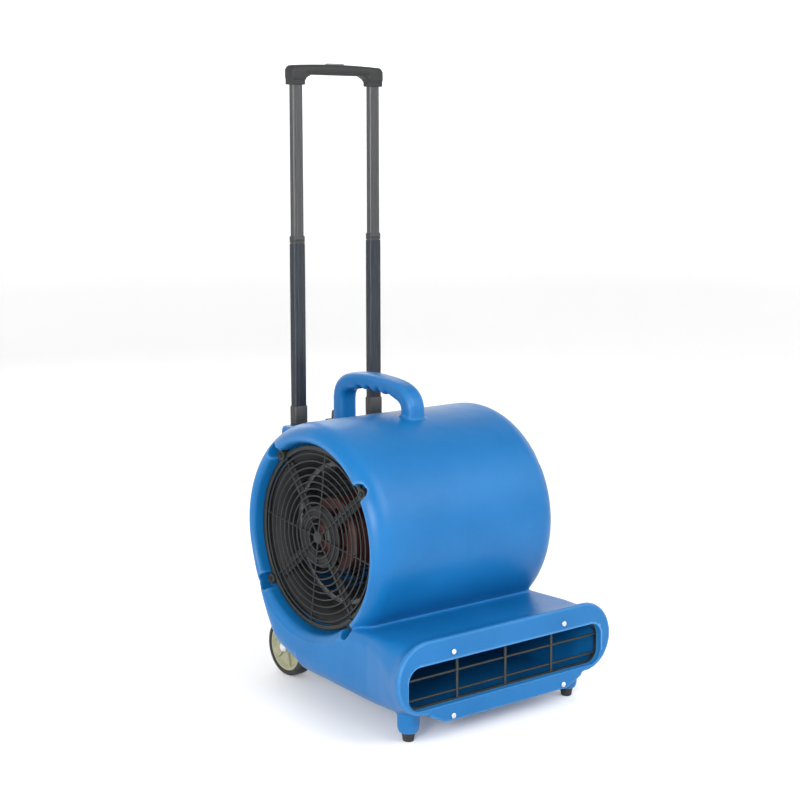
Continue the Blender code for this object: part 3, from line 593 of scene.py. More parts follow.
# maroon motor paint, darkened further as painted shade for the dim inside of the housing
MAROON_WITH_PAINTED_SHADE = plastic_look("motor_paint", (0.036, 0.007, 0.006), (0.056, 0.011, 0.010), 0.50, 500.0, 0.00012,
                      (0.22, 0.10, 0.09))
COPPER = metal_look("winding", (0.45, 0.17, 0.08), (0.70, 0.32, 0.16), 0.35, (1, 0.05, 0.05), 1400.0)
CREAM = plastic_look("capacitor_case", (0.45, 0.45, 0.42), (0.55, 0.55, 0.51), 0.4, worn=(0.7, 0.7, 0.66))
WHITE = plastic_look("dial_marks", (0.62, 0.63, 0.63), (0.74, 0.75, 0.75), 0.5, worn=(0.8, 0.8, 0.8))
BUTTON = plastic_look("button_plastic", (0.16, 0.165, 0.17), (0.21, 0.215, 0.22), 0.42,
                      worn=(0.32, 0.32, 0.33))


# -------- housing
def drum_outline(detail):
    """Side outline of drum and floor pan, in YZ. The nozzle covers the straight line that closes it."""
    points = arc((DRUM_Y, DRUM_Z), DRUM_R, 223.8, -12, 26 * detail + 1)
    knee = (0.141, 0.090)
    slope = (0.107, 0.069)
    pan = (0.012, 0.0455)
    points += bezier(points[-1], (0.1955, 0.1925), (0.1705, 0.130), knee, 4 * detail)
    points += bezier(knee, (0.133, 0.079), (0.120, 0.074), slope, 2 * detail)
    points += bezier(slope, (0.080, 0.058), (0.042, 0.047), pan, 2 * detail)
    return points


def drum(shrink, segments, detail):
    """The drum with its round rims."""
    outline = inset(drum_outline(detail), shrink) if shrink else drum_outline(detail)
    half = DRUM_HALF - shrink
    return slab(outline, -half, half, "X", RIM_ROUND - shrink, segments)


NOZZLE = (                    # y, half width, low, high, lower and upper corner radius
    (0.060, 0.1955, 0.0495, 0.140, 0.036, 0.016),
    (-0.098, 0.1955, 0.0385, 0.154, 0.036, 0.016),
    (-0.128, 0.1975, 0.038, 0.154, 0.036, 0.018),
    (-0.168, 0.205, 0.040, 0.154, 0.040, 0.026),
    (-0.196, 0.213, 0.043, 0.1545, 0.044, 0.042),
    (-0.210, 0.2175, 0.046, 0.156, 0.048, 0.052),
    (-0.221, 0.2215, 0.048, 0.159, 0.052, 0.056),
    (-0.232, 0.2255, 0.050, 0.1645, 0.054, 0.060),
    (FRONT_Y, 0.2235, 0.052, 0.1625, 0.053, 0.057),
)


def nozzle_outline(half, low, high, low_r, high_r):
    """A rounded oblong in XZ whose upper corners differ from its lower ones."""
    points = arc((half - low_r, low + low_r), low_r, -90, 0, 12)
    points += arc((half - high_r, high - high_r), high_r, 0, 90, 12)
    points += arc((high_r - half, high - high_r), high_r, 90, 180, 12)
    points += arc((low_r - half, low + low_r), low_r, 180, 270, 12)
    return points


def nozzle(shrink=0.0):
    """The outlet nozzle, or the air in it when it is shrunk by the wall."""
    sections = [(y + (WALL if shrink and y == FRONT_Y else 0.0),
                 nozzle_outline(half - shrink, low + shrink, high - shrink, low_r - shrink, high_r - shrink))
                for y, half, low, high, low_r, high_r in NOZZLE]
    return loft(sections, "Y")


SKIRT = [(-0.166, 0.060), (-0.160, 0.045), (-0.130, 0.0305), (0.130, 0.0305), (0.160, 0.045), (0.166, 0.060)]


def ear_points():
    """The guard screws' places, as (y, z)."""
    return [tuple(centre(f"guard_screw_right_{i}").yz) for i in range(1, 5)]


def pocket_points():
    """Where the pockets round the ears end, further out from the shaft."""
    return [(FAN_Y + (y - FAN_Y) * POCKET_REACH, FAN_Z + (z - FAN_Z) * POCKET_REACH) for y, z in ear_points()]


def centre(node):
    low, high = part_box(node)
    return (low + high) / 2


def handle_line():
    """The carry handle's middle line in YZ, from the front leg to the rear leg."""
    count = 8
    points = [(-0.0035, 0.430), (-0.0035, 0.445), (-0.003, 0.458), (-0.003, 0.468)]
    points += bezier(points[-1], (-0.002, 0.487), (0.012, 0.4975), (0.047, 0.501), count)
    points += bezier(points[-1], (0.078, 0.5045), (0.112, 0.506), (0.142, 0.502), count * 4)
    points += bezier(points[-1], (0.166, 0.499), (0.179, 0.488), (0.179, 0.468), count)
    points += [(0.179, 0.450), (0.179, 0.430), (0.179, 0.400)]
    return points


def carry_handle():
    """A rounded bar along the handle's line, with finger hollows under it."""
    path = handle_line()
    half_thick = 0.0143
    half_width = 0.0180
    bar_z = 0.49                     # the legs end and the bar begins
    finger = 0.0260                  # width of one finger hollow
    depth = 0.0056                   # and its depth
    first = 0.030                    # where the hollows begin, along Y
    work = bmesh.new()
    rings = []
    for i, (y, z) in enumerate(path):
        out = normal_at(path, i)
        hollow = 0.0
        if z > bar_z and first < y < first + 4 * finger:
            hollow = depth * (1 - cos(2 * pi * (y - first) / finger)) / 2
        section = rounded(half_width, -half_thick + hollow, half_thick, 0.0095)
        rings.append([work.verts.new((u, y + out.x * v, z + out.y * v)) for u, v in section])
    return skinned(work, rings)


COLUMN_FOOT = [(0.092, 0.100), (0.134, 0.078), (0.164, 0.038), (0.186, 0.029), (0.202, 0.031),
               (0.210, 0.044), (0.210, 0.300), (0.092, 0.300)]


def recess_cutter(side):
    """The round inlet recess, which opens out softly at the drum's side, with the ears' pockets."""
    profile = [(RECESS_X, 0), (RECESS_X, RECESS_R - 0.002), (RECESS_X + 0.002, RECESS_R)]
    profile += bezier((0.180, RECESS_R), (0.186, RECESS_R), (0.191, RECESS_R + 0.004),
                      (0.193, RECESS_R + 0.0125), 8)
    profile += [(0.215, RECESS_R + 0.0165), (0.215, 0)]
    item = lathe(profile, 128, along_x())
    for y, z in ear_points() + pocket_points():
        join(item, disc(RECESS_X, 0.212, POCKET_R, 32, y, z))
    return on_side(item, side)


def housing_skin():
    """The outer surface, melted together and pressed in at the inlets."""
    body = join(drum(0.0, 12, 4), nozzle())
    join(body, slab(SKIRT, FRONT_Y + 0.0002, -0.110, "Y", 0.002))
    join(body, slab(COLUMN_FOOT, -COLUMN_LOW_HALF, COLUMN_LOW_HALF, "X", 0.010))
    column_high = (COLUMN_HALF, COLUMN_BACK + 0.0005, COLUMN_TOP + 0.0005)
    join(body, block((-COLUMN_HALF, 0.130, 0.108), column_high, 0.006))
    boss = [(FOOT_HEIGHT, 0), (FOOT_HEIGHT, 0.85 * BOSS_R), (FOOT_HEIGHT + 0.009, BOSS_R + 0.0004),
            (BOSS_TOP, BOSS_R + 0.0004), (BOSS_TOP, 0)]
    for side in (-1, 1):
        join(body, lathe(boss, 48, Matrix.Translation((side * FOOT_X, FOOT_Y, 0))))
    join(body, carry_handle())
    for side in (-1, 1):
        cut(body, recess_cutter(side))
    return remeshed(body, 0.0025, 5)


def tube_slot(side, grow, front, low, high):
    """A box round an outer tube, grown sideways and open to the rear."""
    half = SLOT_HALF + grow
    return block((side * TUBE_X - half, front, low), (side * TUBE_X + half, COLUMN_BACK + 0.01, high))


def inner_air():
    """Everything inside the wall: volute, nozzle, column and the hollow of the carry handle."""
    air = join(drum(WALL, 4, 2), nozzle(WALL))
    for side in (-1, 1):
        low, high = sorted((side * (RECESS_X - WALL), side * 0.21))
        cut(air, disc(low, high, RECESS_R + WALL + 0.003))
        for y, z in ear_points() + pocket_points():
            cut(air, disc(low, high, POCKET_R + WALL, 24, y, z))
        low, high = sorted((side * 0.182, side * 0.21))
        cut(air, disc(low, high, RECESS_R + WALL + 0.014))
    back = COLUMN_BACK - WALL
    foot = [(0.080, 0.130), (0.140, 0.084), (0.168, 0.042), (0.188, 0.033), (0.200, 0.035),
            (back, 0.048), (back, 0.300), (0.080, 0.300)]
    join(air, slab(foot, -COLUMN_LOW_HALF + WALL, COLUMN_LOW_HALF - WALL, "X"))
    join(air, block((-0.062, 0.120, 0.150), (0.062, back, COLUMN_TOP - WALL)))
    return air


def mouth_outline(grow, count=8):
    """The outlet opening in XZ, grown or shrunk all round."""
    return rounded(MOUTH_HALF + grow, MOUTH_LOW - grow, MOUTH_HIGH + grow, MOUTH_ROUND + grow, count)


def mouth_cutter():
    """The outlet opening, with a rounded lip at the front face."""
    lip = 0.0028
    sections = [(FRONT_Y - 0.01, lip * 2)]
    for i in range(6):
        turn = pi / 2 * i / 5
        sections.append((FRONT_Y + lip * (1 - cos(turn)) * 1.2, lip * (1 - sin(turn))))
    sections.append((FRONT_Y + 0.03, 0.0))
    return loft([(y, mouth_outline(grow, 12)) for y, grow in sections], "Y")


def make_housing():
    """The two half shells as one hollow skin, with its linings and every hole in it."""
    body = cut(housing_skin(), inner_air())
    join(body, slab(mouth_outline(0.0035), FRONT_Y + 0.003, FRONT_Y + COLLAR_DEPTH, "Y"))
    cut(body, mouth_cutter())
    for side in (-1, 1):
        lining = tube_slot(side, 0.0043, TUBE_Y - 0.0129, 0.107, COLUMN_TOP - 0.003)
        behind = block((-0.5, COLUMN_BACK - 0.001, 0), (0.5, COLUMN_BACK + 0.1, 0.6))
        join(body, cut(lining, behind))
    for side in (-1, 1):
        cut(body, tube_slot(side, GAP, TUBE_Y - 0.0089, 0.1137, 0.5))
        low, high = sorted((side * 0.155, side * 0.21))
        cut(body, disc(low, high, INLET_R))
        for y, z in ear_points():
            cut(body, disc(side * 0.155, side * 0.175, SCREW_HOLE_R, 16, y, z))
    cut(body, disc(-0.1, 0.1, AXLE_BORE, 32, WHEEL_Y, WHEEL_R))
    knob = centre("speed_knob")
    cut(body, rod((0, knob.y, 0.40), (0, knob.y, 0.45), KNOB_HOLE_R))
    for i in range(1, 5):
        spot = centre(f"outlet_screw_{i}")
        cut(body, rod((spot.x, FRONT_Y - 0.01, spot.z), (spot.x, FRONT_Y + 0.01, spot.z), SCREW_HOLE_R, 16))
    gland = centre("cord_gland")
    cut(body, rod((gland.x, COLUMN_BACK - 0.02, gland.z), (gland.x, COLUMN_BACK + 0.02, gland.z),
                  GLAND_HOLE_R))
    show(body, "housing_shell", "housing", "blue_housing", BLUE, "housing_left", "housing_right", angle=40)


# -------- inlets and outlet
def make_guard(side_name, side):
    """A finger guard: two rings with four screw ears, ten round wires on eight spokes, and a boss."""
    node = f"inlet_guard_{side_name}"
    low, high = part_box(node)
    ear_face = max(abs(low.x), abs(high.x))
    face = ear_face - EAR_RISE
    back = face - 0.006
    guard = ring(back, face, 0.1412, 0.1497, 0.0032, 128)
    join(guard, ring(back + 0.0008, face - 0.0012, 0.1340, 0.1370, 0.0012, 128))
    wire_x = back + 0.0034
    for i in range(10):
        profile = circle(0.00135, 8, (wire_x, 0.0225 + 0.0112 * i))
        join(guard, lathe(profile, 96, along_x(), closed=True))
    ear_turn = atan2(ear_points()[0][1] - FAN_Z, ear_points()[0][0] - FAN_Y)
    for i in range(8):
        at = wire_x - 0.0012
        spoke = rod((at, FAN_Y + 0.009, FAN_Z), (at, FAN_Y + 0.1425, FAN_Z), 0.0015, 10)
        join(guard, about_shaft(spoke, ear_turn + radians(45 * i)))
    boss = [(0.0008, 0), (0.0008, 0.0100), (0.0025, 0.0110), (0.0045, 0.0100), (0.0055, 0.0070), (0.0058, 0)]
    join(guard, lathe([(back + h, r) for h, r in boss], 48, along_x()))
    for y, z in ear_points():
        ear = [(RECESS_X + GAP, 0), (RECESS_X + GAP, EAR_SIZE), (ear_face - 0.002, EAR_SIZE),
               (ear_face - 0.0006, EAR_SIZE - 0.0006), (ear_face, EAR_SIZE - 0.002), (ear_face, 0)]
        join(guard, lathe(ear, 36, along_x(0, y, z)))
    for y, z in ear_points():
        cut(guard, disc(RECESS_X - 0.01, ear_face + 0.01, SCREW_HOLE_R, 16, y, z))
    stand_in(on_side(guard, side), node, "housing", "black_plastic", GUARD)


def make_inlet_ring(side_name, side):
    """A spun bell-mouth with a flange on the recess floor."""
    top = RECESS_X + GAP
    outside = [(top, 0.1365)] + bezier((top, 0.1365), (0.157, 0.1305), (0.149, 0.1180), (0.1245, 0.1172), 10)
    inside = [(0.1245, 0.1158)] + bezier((0.1245, 0.1158), (0.148, 0.1165), (0.158, 0.1290),
                                         (top + 0.0014, 0.1348), 10)
    bell = lathe([(top + 0.0014, 0.1420), (top, 0.1420)] + outside + inside, 128, along_x(), closed=True)
    stand_in(on_side(bell, side), f"inlet_ring_{side_name}", "housing", "gunmetal", DARK_STEEL_AND_INNER_SHADE)


def make_outlet_guard():
    """A frame behind the outlet's collar with two level bars and three upright ones."""
    front = FRONT_Y + COLLAR_DEPTH + GAP
    half_frame = 0.003
    guard = slab(mouth_outline(half_frame, 10), front, front + 0.004, "Y", 0.0008)
    cut(guard, slab(mouth_outline(-half_frame, 10), front - 0.01, front + 0.02, "Y"))
    for z in (0.0743, 0.105):
        bar = rounded(0.0018, -0.0018, 0.0018, 0.0012, 4)
        join(guard, loft([(x, [(front + 0.002 + u, z + v) for u, v in bar]) for x in (-0.2015, 0.2015)], "X"))
    for x in (-0.1, 0.0, 0.1):
        bar = rounded(0.0023, -0.0021, 0.0021, 0.0014, 4)
        ends = (MOUTH_LOW + 0.0015, MOUTH_HIGH - 0.0015)
        join(guard, loft([(z, [(x + u, front + 0.0009 + v) for u, v in bar]) for z in ends], "Z"))
    stand_in(guard, "outlet_guard", "housing", "black_plastic", GUARD)


def pan_screw(point, direction, length, turn):
    """A cross-recessed pan-head screw that leaves a point in a direction. The head sits on the point."""
    head_r = 0.0044
    shank_r = 0.002
    dome = [(0.0, head_r)] + [(0.0012 + 0.0016 * sin(t), head_r * cos(t) ** 0.6)
                              for t in degrees(0, 15, 30, 45, 60, 75)]
    item = lathe([(-length, 0), (-length, shank_r * 0.4), (-length + 0.002, shank_r), (0, shank_r)] + dome
                 + [(SCREW_HEAD, 0)], 32)
    foot = [(-0.0009, -0.0004), (0.0009, -0.0004), (0.0009, 0.0004), (-0.0009, 0.0004)]
    mouth = [(-0.0026, -0.0006), (0.0026, -0.0006), (0.0026, 0.0006), (-0.0026, 0.0006)]
    for cross in (0.0, pi / 2):
        arm = loft([(0.0012, foot), (0.0034, mouth)], "Z")
        cut(item, placed(arm, spin(cross + 0.4)))
    return placed(item, pointing(point, direction) @ spin(turn))


def make_screws():
    for side_name, side in SIDES.items():
        for i in range(1, 5):
            node = f"guard_screw_{side_name}_{i}"
            low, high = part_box(node)
            seat = (high.x if side > 0 else low.x) - side * SCREW_HEAD
            middle = (low + high) / 2
            screw = pan_screw((seat, middle.y, middle.z), (side, 0, 0), 0.0205, i * 1.3)
            stand_in(screw, node, "housing", "gunmetal", DARK_STEEL_AND_INNER_SHADE)
    for i in range(1, 5):
        node = f"outlet_screw_{i}"
        low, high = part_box(node)
        middle = (low + high) / 2
        screw = pan_screw((middle.x, low.y + SCREW_HEAD, middle.z), (0, -1, 0), 0.008, i * 0.9)
        stand_in(screw, node, "housing", "zinc_steel", STEEL)


def make_feet():
    for side_name in SIDES:
        node = f"foot_{side_name}"
        low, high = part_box(node)
        middle = (low + high) / 2
        height = high.z
        profile = [(0, 0), (0, 0.0042), (0.0008, 0.0048), (0.0008, 0.0062), (0, 0.0066), (0.0002, 0.0078),
                   (0.0012, 0.0086), (0.0050, 0.0092), (0.0056, 0.0088), (0.0064, 0.0089), (0.0070, 0.0095),
                   (height - 0.0008, 0.0107), (height, 0.0104), (height, 0)]
        foot = lathe(profile, 56, Matrix.Translation((middle.x, middle.y, 0)))
        stand_in(foot, node, "housing", "rubber", RUBBER)


# -------- drive
def make_motor():
    """The motor's beaded case, its two slotted end caps and its shaft."""
    low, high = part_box("motor_can")
    inside = MOTOR_R - 0.0025
    outside = [(low.x, inside), (low.x, MOTOR_R - 0.001), (low.x + 0.001, MOTOR_R)]
    for bead in (0.012, 0.080):
        at = low.x + bead
        outside += [(at - 0.002, MOTOR_R), (at, MOTOR_R - 0.0012), (at + 0.002, MOTOR_R)]
    outside += [(high.x - 0.001, MOTOR_R), (high.x, MOTOR_R - 0.001), (high.x, inside)]
    can = lathe(outside, 96, along_x(), closed=True)
    stand_in(can, "motor_can", "housing", "motor_paint", MAROON_WITH_PAINTED_SHADE)

    for name, way in (("motor_end_outer", -1), ("motor_end_inner", 1)):
        low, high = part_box(name)
        inner_face = low.x + 0.004 if way > 0 else high.x - 0.004
        curve = [(-0.004, 0.012), (0.012, 0.012), (0.012, 0.024), (0.0112, 0.026)]
        curve += bezier((0.0112, 0.026), (0.009, 0.040), (0.007, 0.052), (0.0, MOTOR_R - 0.0004), 8)
        curve += [(-0.0002, 0.050), (-0.004, 0.020)]
        cap = lathe([(inner_face + way * h, r) for h, r in curve], 96, along_x(), closed=True)
        for i in range(8):
            slot = block((inner_face - 0.02, FAN_Y + 0.030, FAN_Z - 0.005),
                         (inner_face + 0.02, FAN_Y + 0.050, FAN_Z + 0.005), 0.0048, "X", 0)
            cut(cap, about_shaft(slot, radians(45 * i + 22.5)))
        stand_in(cap, name, "housing", "motor_paint", MAROON_WITH_PAINTED_SHADE)
    low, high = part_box("motor_shaft")
    shaft = round_bar(low.x, high.x, 0.007, 0.001, FAN_Y, FAN_Z)
    stand_in(shaft, "motor_shaft", "impeller_set", "zinc_steel", SHEET_WITH_PAINTED_SHADE)


def make_spider():
    """The pressed bracket that hangs the motor in the left inlet, with a bead along each arm."""
    low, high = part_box("motor_spider")
    plate = low.x
    face = plate + 0.0025
    bracket = ring(plate, face, 0.030, 0.050, 0.0008, 72)
    for y, z in ear_points():
        turn = atan2(z - FAN_Z, y - FAN_Y)
        arm = block((plate, FAN_Y + 0.045, FAN_Z - 0.009), (face, FAN_Y + 0.1395, FAN_Z + 0.009), 0.004, "X",
                    0.0006)
        bead = block((plate - 0.0004, FAN_Y + 0.054, FAN_Z - 0.002),
                     (face, FAN_Y + 0.128, FAN_Z + 0.002), 0.0018, "X", 0.0003)
        join(bracket, about_shaft(join(arm, bead), turn))
    join(bracket, ring(face - 0.001, high.x, 0.030, 0.034, 0.0006, 72))
    stand_in(bracket, "motor_spider", "housing", "gunmetal", DARK_STEEL_AND_INNER_SHADE)


def make_impeller():
    """A squirrel-cage wheel: forward-curved blades between two rims, on a middle plate."""
    low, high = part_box("impeller")
    inner_r = 0.1045
    outer_r = high.z - FAN_Z
    count = 40
    wheel = ring(-0.0011, 0.0011, 0.0205, outer_r - 0.002, 0.0004)
    for i in range(6):
        hole = disc(-0.01, 0.01, 0.009, 24, FAN_Y + 0.068, FAN_Z)
        cut(wheel, about_shaft(hole, radians(60 * i)))
    path = [(inner_r, -0.004)] + bezier((inner_r, -0.004), (inner_r + 0.006, -0.004),
                                        (outer_r - 0.006, 0.0), (outer_r - 0.0012, 0.010), 6)
    outline = [(FAN_Y + u, FAN_Z + v) for u, v in band(path, 0.0006)]
    for x_low, x_high in ((low.x + 0.001, -0.0005), (0.0005, high.x - 0.001)):
        work = bmesh.new()
        blade = slab(outline, x_low, x_high)
        for i in range(count):
            turned = about_shaft(add(blade.data.copy()), 2 * pi * i / count)
            work.from_mesh(turned.data)
            bpy.data.objects.remove(turned, do_unlink=True)
        bpy.data.objects.remove(blade, do_unlink=True)
        join(wheel, from_bmesh(work))
    for x_low, x_high in ((low.x, low.x + 0.004), (high.x - 0.004, high.x)):
        join(wheel, ring(x_low, x_high, inner_r + 0.004, outer_r, 0.0012))
    stand_in(wheel, "impeller", "impeller_set", "sheet_steel", SHEET_WITH_PAINTED_SHADE)

    flange = soft_corners([(-0.014, 0.0073), (0.016, 0.0073), (0.016, 0.017), (0.0045, 0.017),
                           (0.0045, 0.032), (0.0013, 0.032), (0.0013, 0.0202), (-0.014, 0.0202)], 0.0008, 3)
    hub = lathe(flange, 64, along_x(), closed=True)
    bolt = [(0.004, 0), (0.004, 0.0034), (0.006, 0.0034), (0.0068, 0.0026), (0.0068, 0)]
    for y, z in circle(0.0255, 4, (FAN_Y, FAN_Z)):
        join(hub, lathe(bolt, 6, along_x(0, y, z)))
    stand_in(hub, "impeller_hub", "impeller_set", "zinc_steel", STEEL)


# -------- controls
def make_controls():
    """The switch plate with its marks, and the fluted speed knob with its pointer."""
    low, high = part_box("switch_plate")
    knob = centre("speed_knob")
    plate = block(low, high, 0.003, "Z", 0.0006)
    cut(plate, rod((0, knob.y, low.z - 0.01), (0, knob.y, high.z + 0.01), KNOB_HOLE_R))
    stand_in(plate, "switch_plate", "housing", "black_plastic", BLACK)
    marks = []
    for i in range(4):
        turn = DIAL_START + radians(45 * i)
        length = 0.0014 + 0.0003 * i
        mark = block((0.0100, -0.0004, high.z - 0.0002), (0.0100 + length, 0.0004, high.z + 0.00025), 0.0002)
        marks.append(placed(mark, Matrix.Translation((0, knob.y, 0)) @ spin(turn)))
    show(join(*marks), "dial_marks", "housing", "button_plastic", WHITE)

    low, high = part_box("speed_knob")
    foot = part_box("switch_plate")[1].z + GAP
    radius = (high.x - low.x) / 2
    flute_depth = 0.00045
    steps = 96

    def fluted(scale, depth):
        points = []
        for i in range(steps):
            turn = 2 * pi * i / steps
            wave = flute_depth * (1 - cos(16 * turn)) / 2
            reach = scale * (radius - wave * depth)
            points.append((reach * cos(turn), knob.y + reach * sin(turn)))
        return points

    sections = [(foot, fluted(0.97, 0.2)), (foot + 0.0006, fluted(1.0, 0.4)),
                (foot + 0.0020, fluted(0.995, 1.0)),
                (high.z - 0.0028, fluted(0.93, 1.0)), (high.z - 0.0010, fluted(0.88, 0.6)),
                (high.z - 0.0003, fluted(0.80, 0.2)), (high.z, fluted(0.68, 0.0))]
    body = join(loft(sections, "Z"), rod((0, knob.y, low.z), (0, knob.y, foot + 0.001), 0.0027))
    stand_in(body, "speed_knob", "knob", "black_plastic", KNOB)
    pointer = block((0.0012, -0.0004, high.z - 0.0004), (0.0056, 0.0004, high.z + 0.0003), 0.0003)
    placed(pointer, Matrix.Translation((0, knob.y, 0)) @ spin(DIAL_START))
    show(pointer, "knob_pointer", "knob", "button_plastic", WHITE)


def make_gland():
    """A cable gland: hexagon, ribbed dome nut and an open throat."""
    low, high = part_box("cord_gland")
    middle = (low + high) / 2
    place = Matrix.Translation((middle.x, COLUMN_BACK, middle.z)) @ Matrix.Rotation(-pi / 2, 4, "X")
    hexagon = slab(circle(0.0128, 6), 0.0003, 0.0050, "Z", 0.0004)
    curve = [(0.0045 + 0.0075 * sin(t), 0.0068 + 0.0037 * cos(t))
             for t in degrees(*range(0, 91, 15))]
    dome = lathe([(0.004, 0), (0.004, 0.0105)] + curve + [(0.012, 0)], 48)
    for i in range(12):
        turn = spin(radians(30 * i))
        join(dome, placed(block((0.0090, -0.0006, 0.0052), (0.0109, 0.0006, 0.0090), 0.0004), turn))
    tail = low.y - COLUMN_BACK
    gland = join(hexagon, dome, lathe([(tail, 0), (tail, 0.008), (0.001, 0.008), (0.001, 0)]))
    cut(gland, rod((0, 0, -0.05), (0, 0, 0.05), 0.0042))
    stand_in(placed(gland, place), "cord_gland", "housing", "black_plastic", BLACK)


# -------- wheels
def make_wheels():
    """The axle, and on each end a grooved tyre, a ribbed hub and a domed cap."""
    low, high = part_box("axle")
    axle = round_bar(low.x, high.x, 0.005, 0.0005, WHEEL_Y, WHEEL_R)
    stand_in(axle, "axle", "housing", "zinc_steel", STEEL)
    axle_end = high.x + GAP
    seat = 0.0415                    # radius at which the tyre sits on the hub
    shoulder = 0.0055                # rounding of the tyre's shoulders
    for side_name, side in SIDES.items():
        low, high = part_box(f"tyre_{side_name}")
        half = (high.x - low.x) / 2
        place = along_x((low.x + high.x) / 2, WHEEL_Y, WHEEL_R, side)
        tread = [(-half, seat + GAP), (half, seat + GAP), (half, 0.0452)]
        tread += [(half - shoulder + shoulder * cos(t), 0.0445 + shoulder * sin(t))
                  for t in degrees(*range(10, 91, 16))]
        for groove in (0.0045, 0.0, -0.0045):
            tread += [(groove + 0.0008, WHEEL_R), (groove + 0.0005, WHEEL_R - 0.0011),
                      (groove - 0.0005, WHEEL_R - 0.0011), (groove - 0.0008, WHEEL_R)]
        tread += [(-half + shoulder - shoulder * cos(t), 0.0445 + shoulder * sin(t))
                  for t in degrees(*range(90, 9, -16))]
        tread.append((-half, 0.0452))
        wheel = f"wheel_{side_name}"
        stand_in(lathe(tread, 96, place, closed=True), f"tyre_{side_name}", wheel, "tyre", TYRE)

        web = soft_corners([(-half + 0.001, AXLE_BORE), (half - 0.001, AXLE_BORE), (half - 0.001, 0.0110),
                            (half - 0.0080, 0.0135), (half - 0.0080, 0.0335), (half - 0.0015, 0.0375),
                            (half - 0.0015, seat),
                            (0.0015 - half, seat), (0.0015 - half, 0.0375), (0.0, 0.0335), (0.0, 0.0135),
                            (-half + 0.001, 0.0110)], 0.0012, 3)
        hub = lathe(web, 96, None, closed=True)
        for i in range(6):
            rib = block((0.0100, -0.0014, -0.001), (0.0365, 0.0014, half - 0.0036), 0.0008)
            join(hub, placed(rib, spin(radians(60 * i + 12))))
        cut(hub, rod((0, 0, -0.1), (0, 0, 0.1), AXLE_BORE))
        stand_in(placed(hub, place), f"wheel_hub_{side_name}", wheel, "hub_plastic", HUB)

        low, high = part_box(f"axle_cap_{side_name}")
        outer = high.x if side > 0 else -low.x
        inner = low.x if side > 0 else -high.x
        cap = [(inner, AXLE_BORE), (inner, 0.0078), (inner + 0.0004, 0.0085), (inner + 0.0022, 0.0085)]
        cap += [(inner + 0.0022 + (outer - inner - 0.0022) * sin(t), 0.0080 * cos(t))
                for t in degrees(*range(0, 91, 15))]
        cap[-1] = (outer, 0.0)
        cap += [(axle_end, 0), (axle_end, AXLE_BORE)]
        item = on_side(lathe(cap, 48, along_x(0, WHEEL_Y, WHEEL_R)), side)
        stand_in(item, f"axle_cap_{side_name}", "housing", "zinc_steel", STEEL)


# -------- pull-out handle
def tube_outline(half_width, half_depth, radius, groove):
    """A rounded rectangle with two shallow grooves along its front and back."""
    outline = rounded(half_width, -half_depth, half_depth, radius, 6)
    quarter = len(outline) // 4
    at = half_width * 0.42

    def dents(sign, depth):
        made = []
        floor = depth - copysign(groove, depth)
        for x in (at * sign, -at * sign):
            made += [(x + 0.0011 * sign, depth), (x + 0.0004 * sign, floor), (x - 0.0004 * sign, floor),
                     (x - 0.0011 * sign, depth)]
        return made

    return outline[:2 * quarter] + dents(1, half_depth) + outline[2 * quarter:] + dents(-1, -half_depth)


def make_tube(node, body, look):
    """A thin-walled tube of the pull-out handle."""
    low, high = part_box(node)
    middle = (low + high) / 2
    half_width = (high.x - low.x) / 2
    half_depth = (high.y - low.y) / 2
    wall = 0.0008
    tube = slab(tube_outline(half_width, half_depth, 0.0032, 0.00045), low.z, high.z, "Z")
    cut(tube, slab(rounded(half_width - wall, wall - half_depth, half_depth - wall, 0.0024, 6), low.z - 0.01,
                   high.z + 0.01, "Z"))
    placed(tube, Matrix.Translation((middle.x, middle.y, 0)))
    stand_in(tube, node, body, "gunmetal", look, 28)


def make_bush(node, body, inner_node):
    """A guide bush with a chamfered mouth and a thin shoulder."""
    low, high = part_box(node)
    middle = (low + high) / 2
    half_width = (high.x - low.x) / 2
    half_depth = (high.y - low.y) / 2
    sections = []
    for height, grow in ((0, 0.0), (0.0030, 0.0), (0.0033, -0.0005), (0.0040, -0.0005), (0.0043, 0.0),
                         (high.z - low.z - 0.0022, 0.0), (high.z - low.z - 0.0006, -0.0010),
                         (high.z - low.z, -0.0018)):
        sections.append((low.z + height, rounded(half_width + grow, -half_depth - grow, half_depth + grow,
                                                 0.0032 + grow, 6)))
    item = loft(sections, "Z")
    placed(item, Matrix.Translation((middle.x, middle.y, 0)))
    cut(item, opening_for(inner_node, low.z - 0.01, high.z + 0.01, 0.0028))
    stand_in(item, node, body, "black_plastic", BLACK)


def make_straps():
    """Two flat straps with round ends, each held by four screws."""
    for node in ("upper_strap", "lower_strap"):
        low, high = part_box(node)
        strap = block(low, high, 0.005, "Y", 0.0006)
        stand_in(strap, node, "housing", "zinc_steel", STEEL)
        height = (low.z + high.z) / 2
        for i, x in enumerate((-0.099, -0.052, 0.052, 0.099)):
            screw = pan_screw((x, high.y, height), (0, 1, 0), 0.004, i * 1.1)
            show(screw, f"{node}_screw_{i + 1}", "housing", "zinc_steel", STEEL)


def grip_section(half, low, top):
    """The grip's closed section, in YZ."""
    radius = min((top - low) / 2 - 0.0002, 0.0075)
    return [(TUBE_Y + u, v) for u, v in rounded(half, low, top, radius)]


